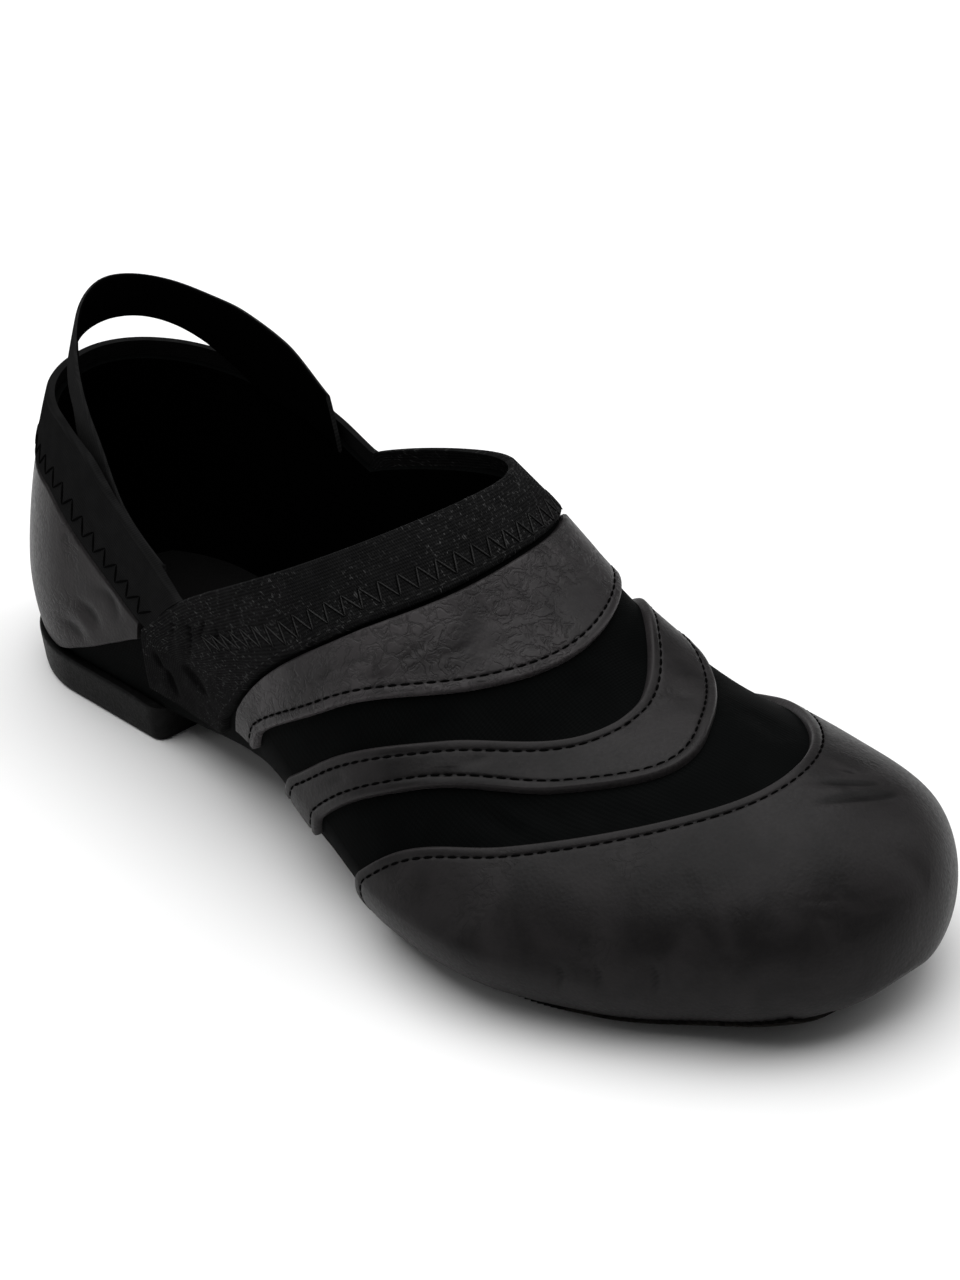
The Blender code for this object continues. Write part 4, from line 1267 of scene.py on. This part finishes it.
class Thread:
    """Stitches of one thread, gathered from several runs."""

    def __init__(self, name: str, radius: float, seed: int) -> None:
        """Start a thread without stitches."""
        self.name, self.radius, self.seed = name, radius, seed
        self.rows: list[tuple[Array, Array, Array, float]] = []

    def straight(self, line: Line, spacing: float, length: float) -> None:
        """Lay a run of straight stitches along a line of points and normals."""
        way = travel(line[0])
        for a in np.arange(TRIM, way[-1] - TRIM, spacing):
            start, end = sample(np.array([a, a + length]), way, line[0])
            self.lay(start, end, sample(np.array([a + length / 2]), way, line[1])[0])

    def zigzag(self, low: Line, high: Line, pitch: float, lead: float = 0.0) -> None:
        """Lay a zigzag between two lines with the same columns, shifted along them by a lead."""
        way = travel((low[0] + high[0]) / 2)
        marks = np.arange(TRIM + lead, way[-1] - TRIM, pitch / 2)
        turns = sample(marks, way, high[0])
        turns[1::2] = sample(marks, way, low[0])[1::2]
        for start, end, up in zip(turns, turns[1:], sample(marks, way, low[1])):
            self.lay(start, end, up)

    def lay(self, start: Array, end: Array, up: Array) -> None:
        """Lay one stitch."""
        way = end - start
        self.rows.append(((start + end) / 2, unit(way), unit(up), float(np.linalg.norm(way)) / 2))

    def build(self, tree: StitchTree, finish: Palette) -> bpy.types.Object:
        """Make the threads as one plain mesh.

        Args:
            tree: Geometry Nodes tree that draws them.
            finish: Their finish.

        Returns:
            The object, linked.
        """
        mesh = bpy.data.meshes.new(self.name + "_points")
        mesh.from_pydata([tuple(r[0]) for r in self.rows], [], [])
        for column, name, kind, key in (
            (1, "along", "FLOAT_VECTOR", "vector"),
            (2, "up", "FLOAT_VECTOR", "vector"),
            (3, "reach", "FLOAT", "value"),
        ):
            values = np.array([r[column] for r in self.rows], np.float32)
            mesh.attributes.new(name, kind, "POINT").data.foreach_set(key, values.ravel())
        made = place_object(self.name, mesh)
        modifier = made.modifiers.new("StitchRun", "NODES")
        modifier.node_group = tree.tree
        modifier[tree.radius] = self.radius
        modifier[tree.seed] = self.seed
        modifier[tree.material] = finish.material()
        bpy.context.view_layer.update()
        drawn = made.evaluated_get(bpy.context.evaluated_depsgraph_get())
        plain = bpy.data.meshes.new_from_object(drawn)
        made.modifiers.remove(modifier)
        made.data = plain
        plain.name = self.name
        if not plain.materials:
            plain.materials.append(finish.material())
        LOG.info("%s: %d stitches, %d faces", self.name, len(self.rows), len(plain.polygons))
        return made


def dress(made: bpy.types.Object, node: str) -> None:
    """Let a piece stand for a CAD node: hide the node and attach the piece to the shoe's root."""
    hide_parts(node)
    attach(made, "root")


def with_body(made: bpy.types.Object) -> None:
    """Let an added piece, such as a thread, go with the shoe."""
    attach(made, "root")


@dataclass
class ClothBody:
    """The hollow stretch cloth body from the heel to the toe."""

    last: Last
    low_columns: int = 26
    wall_columns: int = 18
    crown_columns: int = 46
    front_rows: int = 150
    heel_rows: int = 48
    knit_run: float = 0.055

    def turns(self, side: Side) -> tuple[Array, Array, Array]:
        """Turns of the columns below the widest level, on the low wall and over the crown."""
        bend = self.last.side_turn(side, self.last.sizes.elastic_proud)
        low = np.linspace(-1, 0, self.low_columns)
        wall = np.linspace(0, bend, self.wall_columns)[1:]
        crown = np.linspace(bend, 1, self.crown_columns)[1:]
        return low, wall, crown

    def round_distance(self, share: Array, wrap: Array) -> Array:
        """Distance round the section from the ridge, near enough for the knit."""
        return np.abs(wrap) * self.knit_run + 0 * share

    def front(self) -> Grid:
        """Places in front of the lowest part of the opening.

        Returns:
            The places, with faces that look outwards.
        """
        outer = np.concatenate(self.turns(Side.OUTER))
        inner = np.concatenate(self.turns(Side.INNER))
        wrap = np.concatenate([outer - 1, (1 - inner)[::-1][1:]])
        start = self.last.edge(wrap, self.last.sizes.elastic_proud)
        way = np.sin(np.linspace(0, 1, self.front_rows) * math.pi / 2)[:, None]
        share = start + (1 - start) * way
        turn = self.last.tuck_under(1 - np.abs(wrap)[None, :] + 0 * share, share)
        wrap = np.sign(wrap + 1e-12)[None, :] * (1 - turn)
        flat = np.zeros_like(share)
        return Grid(share, wrap, flat, flat - self.last.sizes.cloth, self.round_distance(share, wrap),
                    share * self.last.sizes.length)

    def heel(self, side: Side) -> Grid:
        """Places behind the lowest part of the opening.

        Args:
            side: Side of the foot.

        Returns:
            The places, with faces that look outwards.
        """
        low, wall, _ = self.turns(side)
        way = 1 - np.cos(np.linspace(0, math.pi / 2, self.heel_rows))
        share = (self.last.shares.side * way)[:, None]
        height = self.last.collar_height(share, side, self.last.sizes.elastic_proud)
        top = self.last.turn_at_height(share, height)
        columns = np.concatenate([low, wall])[None, :]
        turn = np.where(columns <= 0, columns, columns / wall[-1] * top)
        share = share + 0 * turn
        wrap = side.value * (1 - turn)
        flat = np.zeros_like(share)
        grid = Grid(share, wrap, flat, flat - self.last.sizes.cloth, self.round_distance(share, wrap),
                    share * self.last.sizes.length)
        if side is Side.INNER:
            for name in ("share", "wrap", "outer", "inner", "u", "v"):
                setattr(grid, name, getattr(grid, name)[:, ::-1])
        return grid

    def build(self) -> None:
        """Build and dress the body."""
        wall = Wall("cloth_body", self.last)
        wall.add(self.front())
        for side in Side:
            wall.add(self.heel(side))
        dress(wall.build(Palette.CLOTH, Palette.LINING), "upper")


@dataclass
class Bands:
    """The leather pieces: throat band, vamp band, toe cap and heel counter."""

    last: Last
    columns: int = 170
    rim: float = 0.14 * MM
    groove: float = 0.26 * MM
    seam_fit: float = 0.6 * MM
    cap_reach: float = 0.36
    counter_low_end: float = 0.233
    counter_top_end: float = 0.235
    stitched: float = 2.4 * MM
    stitch_pitch: float = 2.7 * MM
    stitch_length: float = 2.1 * MM
    stitch_sunk: float = 0.12 * MM

    def profile(self, start_fold: float, end_fold: float, rows: int) -> StripProfile:
        """Cross profile of a leather strip with its folded rims."""
        z = self.last.sizes
        return StripProfile(z.curved_fit, z.leather, start_fold, end_fold, groove=self.groove, rows=rows)

    def between(self, rear: str, front: str, set_back: float) -> Strip:
        """Strip between two lines over the forefoot, the rear one set back by a gap."""
        def place(t: Array, f: Array) -> tuple[Array, Array]:
            """Share and wrap at a wrap and a fraction of the way forward."""
            first = self.last.line(rear, t) + set_back / self.last.sizes.length
            return first + (self.last.line(front, t) - first) * f, t
        reach = 1 - self.last.shares.band_low_turn
        return Strip(self.last, np.linspace(-reach, reach, self.columns), place)

    def cap(self) -> Strip:
        """Strip of the toe cap, from its rear edge to the tip.

        Returns:
            The strip.
        """
        def place(t: Array, f: Array) -> tuple[Array, Array]:
            """Share and wrap at a wrap and a fraction of the way to the tip."""
            rear = self.last.line("cap_rear", t)
            share = rear + (1 - rear) * np.sin(f * math.pi / 2)
            turn = self.last.tuck_under(1 - np.abs(t), share)
            return share, np.where(t < 0, -1.0, 1.0) * (1 - turn)
        reach = 1 + self.cap_reach
        return Strip(self.last, np.linspace(-reach, reach, self.columns + 60), place)

    def counter(self) -> Strip:
        """Strip of the heel counter, from its low edge up to the elastic."""
        def edges(share: Array, side: Side) -> tuple[Array, Array]:
            """Heights of the low and the top edge."""
            low = self.last.heel_height(share, side, "counter_low")
            return low, self.last.heel_height(share, side, "elastic_low") - self.seam_fit
        place = heel_place(self.last, edges, self.counter_low_end, self.counter_top_end)
        return Strip(self.last, np.linspace(-1, 1, self.columns), place)

    def build(self, dark: Thread) -> None:
        """Build and dress the leather pieces and lay their stitches.

        Args:
            dark: The thread that takes the stitches.
        """
        throat = self.between("elastic_front", "throat_front", self.seam_fit)
        vamp, cap, counter = self.between("band_rear", "band_front", 0.0), self.cap(), self.counter()
        for name, node, slot, strip, profile, finish, fine in (
            ("throat_leather", "throat_band", "throat_leather", throat, self.profile(0.0, self.rim, 26),
             Palette.THROAT, True),
            ("vamp_leather", "vamp_band", "band_leather", vamp, self.profile(self.rim, self.rim, 26),
             Palette.LEATHER, True),
            ("cap_leather", "toe_cap", "cap_leather", cap, self.profile(self.rim, 0.0, 112),
             Palette.LEATHER, False),
            ("counter_leather", "heel_counter", "counter_leather", counter, self.profile(0.0, 0.0, 40),
             Palette.COUNTER, True),
        ):
            wall = Wall(name, self.last)
            wall.add(strip.grid(profile, fine_end=fine))
            dress(wall.build(finish), node)
        level = self.last.sizes.curved_fit + self.last.sizes.leather - self.stitch_sunk
        for strip, from_end in ((throat, True), (vamp, False), (vamp, True), (cap, False)):
            seam = strip.run(self.stitched, from_end, level)
            dark.straight(seam, self.stitch_pitch, self.stitch_length)


def heel_place(last: Last, edges: Callable[[Array, Side], tuple[Array, Array]], low_end: float,
               top_end: float) -> Place:
    """Places of a piece round the heel.

    Args:
        last: The last.
        edges: Heights of the low and the top edge at a share and a side.
        low_end: Share at which the low edge ends.
        top_end: Share at which the top edge ends.

    Returns:
        Share and wrap at a way round the heel (-1 to 1) and a fraction of the height.
    """
    def place(t: Array, f: Array) -> tuple[Array, Array]:
        """Share and wrap at a way round the heel and a fraction of the height.

        Args:
            t: Ways round the heel, from -1 on the outer side to 1 on the inner side.
            f: Fractions of the height between the two edges.

        Returns:
            The shares and the wraps.
        """
        t, f = pair(t, f)
        fraction = 1 - np.cos(np.abs(t) * math.pi / 2)
        share = (low_end + (top_end - low_end) * f) * fraction
        wrap = np.empty_like(share)
        for side in Side:
            here = (t < 0) == (side is Side.OUTER)
            low, top = edges(share[here], side)
            turn = last.turn_at_height(share[here], low + (top - low) * f[here])
            wrap[here] = side.value * (1 - turn)
        return share, wrap
    return place


@dataclass
class Elastics:
    """The elastics of the opening and the pull loop."""

    last: Last
    front_columns: int = 230
    rear_columns: int = 190
    rear_low_end: float = 0.247
    rear_top_end: float = 0.296
    loop_low_end: float = 0.262
    loop_top_end: float = 0.252
    front_zigzag: tuple[float, float] = (9.0 * MM, 13.6 * MM)
    front_pitch: float = 4.2 * MM
    front_lead: float = 0.35 * MM
    zigzag_reach: float = 0.95
    dash_inset: float = 1.5 * MM
    dash_pitch: float = 2.6 * MM
    dash_length: float = 1.3 * MM
    dash_sunk: float = 0.1 * MM
    rear_zigzag: tuple[float, float] = (2.0 * MM, 6.6 * MM)
    rear_pitch: float = 4.4 * MM
    stitch_lift: float = 0.05 * MM

    def front(self) -> Strip:
        """Strip of the front elastic, from the opening's edge to the throat band.

        Returns:
            The strip.
        """
        z, s = self.last.sizes, self.last.shares

        def place(t: Array, f: Array) -> tuple[Array, Array]:
            """Share and wrap at a wrap and a fraction of the way forward.

            Args:
                t: Wraps round the section.
                f: Fractions of the way from the opening's edge to the throat band.

            Returns:
                The shares and the wraps.
            """
            t, f = pair(t, f)
            turn = 1 - np.abs(t)
            under = np.clip(turn / s.gusset_low_turn, 0, 1)
            first = self.last.edge(t, 0.0)
            for side in Side:
                bend = self.last.side_turn(side, 0.0)
                down = np.clip(1 - turn / bend, 0, 1)
                wall = s.side - (z.gusset_rear * down - z.gusset_under * under) / z.length
                here = ((t < 0) == (side is Side.OUTER)) & (turn < bend)
                first = np.where(here, wall, first)
            final = self.last.line("elastic_front", t) - z.gusset_front / z.length * under
            return first + (final - first) * f, t
        reach = 1 - s.gusset_low_turn
        return Strip(self.last, np.linspace(-reach, reach, self.front_columns), place)

    def rear(self) -> Strip:
        """Strip of the rear elastic, from its low edge to the opening's edge."""
        def edges(share: Array, side: Side) -> tuple[Array, Array]:
            """Heights of the low and the top edge."""
            low = self.last.heel_height(share, side, "elastic_low")
            return low, self.last.collar_height(share, side, 0.0)
        place = heel_place(self.last, edges, self.rear_low_end, self.rear_top_end)
        return Strip(self.last, np.linspace(-1, 1, self.rear_columns), place)

    def loop(self) -> Strip:
        """Strip of the pull loop's tape, from its low edge to its top edge.

        Returns:
            The strip.
        """
        z, s = self.last.sizes, self.last.shares

        def edges(share: Array, side: Side) -> tuple[Array, Array]:
            """Heights of the low and the top edge; the low one laps inside the collar at the ends."""
            top = self.last.heel_height(share, side, "top")
            loop = self.last.heel_height(share, side, "loop")
            lapped = np.minimum(top - z.loop_lap, loop - z.loop_width)
            free = top + z.loop_gap
            return free + (lapped - free) * smooth_step(share / s.loop_close), loop
        place = heel_place(self.last, edges, self.loop_low_end, self.loop_top_end)
        return Strip(self.last, np.linspace(-1, 1, self.rear_columns), place)

    def build(self, dark: Thread, grey: Thread, shade: Thread) -> None:
        """Build and dress the elastics and lay their zigzags.

        Args:
            dark: The thread of the rear zigzag.
            grey: The light thread of the front zigzag.
            shade: A thin dark thread beside the grey zigzag, laid as its painted shadow.
        """
        z = self.last.sizes
        front, rear, loop = self.front(), self.rear(), self.loop()
        band = StripProfile(z.curved_fit, z.elastic, round_over=0.75 * MM, rows=40)
        tape_low = -(z.cloth + z.curved_fit + z.tape)
        tape = StripProfile(tape_low, z.tape, round_over=0.6 * MM, rows=18, floor=tape_low, free=True)
        for name, node, slot, strip, profile, outside, inside in (
            ("front_band", "collar_front", "front_elastic", front, band, Palette.FRONT, None),
            ("rear_band", "collar_rear", "rear_elastic", rear, band, Palette.REAR, None),
            ("pull_loop", "heel_loop", "loop_elastic", loop, tape, Palette.TAPE, Palette.LINING),
        ):
            wall = Wall(name, self.last)
            wall.add(strip.grid(profile))
            dress(wall.build(outside, inside), node)
        level = z.curved_fit + z.elastic + self.stitch_lift
        seam = np.abs(front.ts) < self.zigzag_reach
        low, high = (tuple(a[seam] for a in front.run(d, False, level)) for d in self.front_zigzag)
        # Thin dark zigzag, the painted shadow of the grey zigzag laid just after it.
        shade.zigzag(low, high, self.front_pitch)
        grey.zigzag(low, high, self.front_pitch, self.front_lead)
        dashes = front.run(self.dash_inset, True, level - self.dash_sunk)
        grey.straight(dashes, self.dash_pitch, self.dash_length)
        low, high = (rear.run(d, False, level) for d in self.rear_zigzag)
        dark.zigzag(low, high, self.rear_pitch)


@dataclass
class Underside:
    """The forefoot sole and the insole, as sheets on the last's bottom."""

    last: Last
    sole_span: tuple[float, float] = (0.575, 0.980)
    toe_reach: float = 0.125
    insole_span: tuple[float, float] = (0.028, 0.962)
    end_round: float = 0.020
    sheet_lift: float = 0.1 * MM
    tooth: float = 1.6 * MM
    tooth_depth: float = 0.38 * MM
    tooth_half: float = 48 * MM
    tooth_power: float = 6
    tooth_ends: float = 0.03
    half_width: float = 45 * MM
    toe_widens: tuple[float, float] = (0.70, 0.14)

    def sheet(self, span: tuple[float, float], edge_turn: float, outer: float, inner: float, rows: int,
              columns: int, teeth: float) -> Grid:
        """Places of a sheet with rounded ends.

        Args:
            span: First and last share at the middle.
            edge_turn: Turn of its long edges.
            outer: Outer offset.
            inner: Inner offset.
            rows: Rows along the shoe.
            columns: Columns across it.
            teeth: Depth of the serrated edge, 0 for a plain one.

        Returns:
            The places.
        """
        way = np.linspace(0, 1, rows)[:, None]
        across = np.sin(np.linspace(-1, 1, columns) * math.pi / 2)[None, :]
        first = span[0] + self.end_round * across ** 2
        final = span[1] - self.end_round * across ** 2
        share = first + (final - first) * way
        length = self.last.sizes.length
        wave = np.sin(share * length / self.tooth * 2 * math.pi) * np.abs(across) ** self.tooth_power
        widens, over = self.toe_widens
        wider = self.toe_reach * smooth_step((share - widens) / over) if teeth > 0 else 0.0
        turn = -1 + np.abs(across) * (1 + edge_turn + wider + teeth / self.tooth_half * wave)
        ripple = teeth / length * np.sin(across * self.half_width / self.tooth * 2 * math.pi)
        ends = [np.clip(1 - near / self.tooth_ends, 0, 1) for near in (way, 1 - way)]
        share = share + ripple * (ends[0] - ends[1])
        wrap = np.where(across < 0, -1.0, 1.0) * (1 - turn)
        flat = np.zeros_like(share)
        from_middle = np.abs(across) * self.half_width + flat
        return Grid(share, wrap, flat + outer, flat + inner, from_middle, share * length)

    def build(self) -> None:
        """Build and dress the sheets under and inside the shoe."""
        z, s = self.last.sizes, self.last.shares
        sole = Wall("suede_sole", self.last)
        sole.add(self.sheet(self.sole_span, s.sole_edge_turn, z.fit + z.sole, self.sheet_lift, 480, 33,
                            self.tooth_depth))
        dress(sole.build(Palette.SUEDE), "forefoot_sole")
        insole = Wall("inner_sole", self.last)
        insole.add(self.sheet(self.insole_span, s.insole_edge_turn, -z.cloth - self.sheet_lift,
                              -z.cloth - z.fit - z.insole, 150, 31, 0.0))
        dress(insole.build(Palette.INSOLE), "insole")


@dataclass
class HeelPad:
    """The low rubber heel with rounded edges and a raised rim."""

    last: Last
    height: float = 0.0093
    edge: float = 1.0 * MM
    lip: float = 0.5 * MM
    lip_width: float = 2.4 * MM
    least_corner: float = 0.4 * MM
    breast_run: float = 12 * MM
    around: int = 220
    corner_steps: int = 14
    edge_steps: int = 6

    def contour(self, inset: float) -> Array:
        """Plan of the pad.

        Args:
            inset: Distance by which it is set in.

        Returns:
            Its points, the same count each time.
        """
        z = self.last.sizes
        radius = z.pad_width / 2 - inset
        back = z.length / 2 - z.pad_set_in + self.last.shift[1]
        centre_y = back - z.pad_width / 2
        breast = back - z.pad_length + inset
        corner = max(z.pad_corner - inset, self.least_corner)
        arc = np.linspace(0, math.pi, self.around // 2)
        points = [np.stack([radius * np.cos(arc), centre_y + radius * np.sin(arc)], axis=1)]
        for side, start in ((-1, 1.0), (1, 1.5)):
            arc = np.linspace(math.pi * start, math.pi * (start + 0.5), self.corner_steps)
            points.append(np.stack([side * (radius - corner) + corner * np.cos(arc),
                                    breast + corner + corner * np.sin(arc)], axis=1))
        loop = np.concatenate([*points, points[0][:1]])
        way = travel(loop)
        out = sample(np.linspace(0, way[-1], self.around, endpoint=False), way, loop)
        out[:, 0] += self.last.pad_x + self.last.shift[0]
        return out

    def rings(self) -> list[tuple[float, float]]:
        """Height and inset of each ring, from the middle of the bottom to the middle of the top.

        Returns:
            The rings.
        """
        flare = self.last.sizes.pad_flare
        rings = [(0.0, inset * MM) for inset in PAD_BOTTOM_INSETS]
        for a in np.linspace(0, math.pi / 2, self.edge_steps + 1):
            rings.append((self.edge * (1 - math.cos(a)), flare + self.edge * (1 - math.sin(a))))
        for level in np.linspace(self.edge, self.height - 0.5 * MM, 9)[1:]:
            rings.append((float(level), flare * (1 - float(level) / self.height)))
        top = self.height + self.lip
        rings += [(self.height - 0.05 * MM, 0.05 * MM), (top - 0.2 * MM, 0.15 * MM), (top, 0.45 * MM),
                  (top - 0.05 * MM, 0.9 * MM), (self.height + 0.1 * MM, self.lip_width)]
        flat = (self.lip_width + 2 * MM, 9 * MM, 14 * MM, 20 * MM)
        return rings + [(self.height, inset) for inset in flat]

    def build(self) -> None:
        """Build and dress the heel pad."""
        rings, z, n = self.rings(), self.last.sizes, self.around
        vertices = []
        for level, inset in rings:
            for x, y in self.contour(inset):
                from_breast = (y - (z.length / 2 - z.pad_length)) / self.breast_run
                lip = max(level - self.height, 0.0) * float(smooth_step(np.array(from_breast)))
                vertices.append((x, y, min(level, self.height) + lip))
        faces = []
        for i in range(len(rings) - 1):
            for j in range(n):
                k = (j + 1) % n
                faces.append((i * n + j, i * n + k, (i + 1) * n + k, (i + 1) * n + j))
        faces.append(tuple(range(n))[::-1])
        faces.append(tuple((len(rings) - 1) * n + j for j in range(n)))
        mesh = bpy.data.meshes.new("rubber_heel")
        mesh.from_pydata(vertices, [], faces)
        mesh.uv_layers.new(name="Surface")
        mesh.materials.append(Palette.RUBBER.material())
        mesh.shade_smooth()
        mesh.set_sharp_from_angle(angle=math.radians(PAD_SHARP))
        LOG.info("rubber_heel: %d faces", len(mesh.polygons))
        dress(place_object("rubber_heel", mesh), "heel_pad")


@dataclass
class Studio:
    """Pale floor, soft lights and the photograph's camera."""

    azimuth: float = -44.282
    elevation: float = 31.34
    distance: float = 0.84167
    target: tuple[float, float, float] = (0.001555, -0.01132, 0.046961)
    roll: float = -0.452
    lens: float = 113.66
    floor_size: float = 5.0
    floor_tone: float = 0.86
    floor_rough: float = 0.9
    world: float = 0.13
    aim: tuple[float, float, float] = (0.0, 0.0, 0.03)
    lights: tuple = (
        ("top_softbox", (0.05, 0.20, 1.3), (2.1, 2.1), 36.0),
        ("left_strip", (-0.9, 0.55, 0.45), (0.5, 0.7), 0.85),
        ("right_fill", (0.9, -0.5, 0.7), (0.6, 0.6), 2.4),
    )

    def floor(self) -> None:
        """Lay the white floor."""
        half = self.floor_size / 2
        mesh = bpy.data.meshes.new("studio_floor")
        corners = [(-half, -half, 0), (half, -half, 0), (half, half, 0), (-half, half, 0)]
        mesh.from_pydata(corners, [], [(0, 1, 2, 3)])
        material = bpy.data.materials.new("studio_white")
        material.use_nodes = True
        shader = material.node_tree.nodes["Principled BSDF"]
        shader.inputs["Base Color"].default_value = (*grey(self.floor_tone), 1.0)
        shader.inputs["Roughness"].default_value = self.floor_rough
        mesh.materials.append(material)
        floor = place_object("studio_floor", mesh)

    def light(self, name: str, place: tuple[float, float, float], size: tuple[float, float],
              watts: float) -> None:
        """Hang a rectangular soft light.

        Args:
            name: Its name.
            place: Where it hangs.
            size: Its width and height.
            watts: Its power.
        """
        data = bpy.data.lights.new(name, "AREA")
        data.shape = "RECTANGLE"
        data.size, data.size_y = size
        data.energy = watts
        lamp = place_object(name, data)
        lamp.location = place
        lamp.rotation_euler = (Vector(place) - Vector(self.aim)).to_track_quat("Z", "Y").to_euler()

    def camera(self) -> None:
        """Set the camera at the photograph's angle."""
        a, e, r = (math.radians(v) for v in (self.azimuth, self.elevation, self.roll))
        back = Vector((math.sin(a) * math.cos(e), -math.cos(a) * math.cos(e), math.sin(e)))
        right = Vector((math.cos(a), math.sin(a), 0.0))
        up = back.cross(right)
        turned = right * math.cos(r) + up * math.sin(r)
        upright = up * math.cos(r) - right * math.sin(r)
        data = bpy.data.cameras.new("photo_camera")
        data.lens = self.lens
        data.sensor_width = 36.0
        data.sensor_fit = "AUTO"
        data.clip_start = 0.01
        camera = place_object("photo_camera", data)
        place = Vector(self.target) + back * self.distance
        rows = [[v[k] for v in (turned, upright, back, place)] for k in range(3)]
        camera.matrix_world = Matrix([*rows, [0.0, 0.0, 0.0, 1.0]])
        bpy.context.scene.camera = camera

    def build(self) -> None:
        """Set up the floor, the lights and the camera."""
        world = bpy.data.worlds.new("studio_world")
        world.use_nodes = True
        background = world.node_tree.nodes["Background"]
        background.inputs["Color"].default_value = (1.0, 1.0, 1.0, 1.0)
        background.inputs["Strength"].default_value = self.world
        bpy.context.scene.world = world
        bpy.context.scene.view_settings.view_transform = "Standard"
        self.floor()
        for light in self.lights:
            self.light(*light)
        self.camera()


def main() -> None:
    """Build the shoe piece by piece and report each."""
    last = Last(LastSizes(), LastShares(), LastCurves())
    dark = Thread("dark_stitches", 0.26 * MM, 7)
    neutral = Thread("grey_stitches", 0.17 * MM, 11)
    # The thin dark thread that paints the shadow of the grey zigzag.
    shade = Thread("shade_stitches", 0.13 * MM, 13)
    ClothBody(last).build()
    Bands(last).build(dark)
    Elastics(last).build(dark, neutral, shade)
    Underside(last).build()
    HeelPad(last).build()
    tree = StitchTree()
    with_body(dark.build(tree, Palette.DARK_THREAD))
    with_body(neutral.build(tree, Palette.GREY_THREAD))
    with_body(shade.build(tree, Palette.DARK_THREAD))
    Studio().build()


if __name__ == "__main__":
    main()
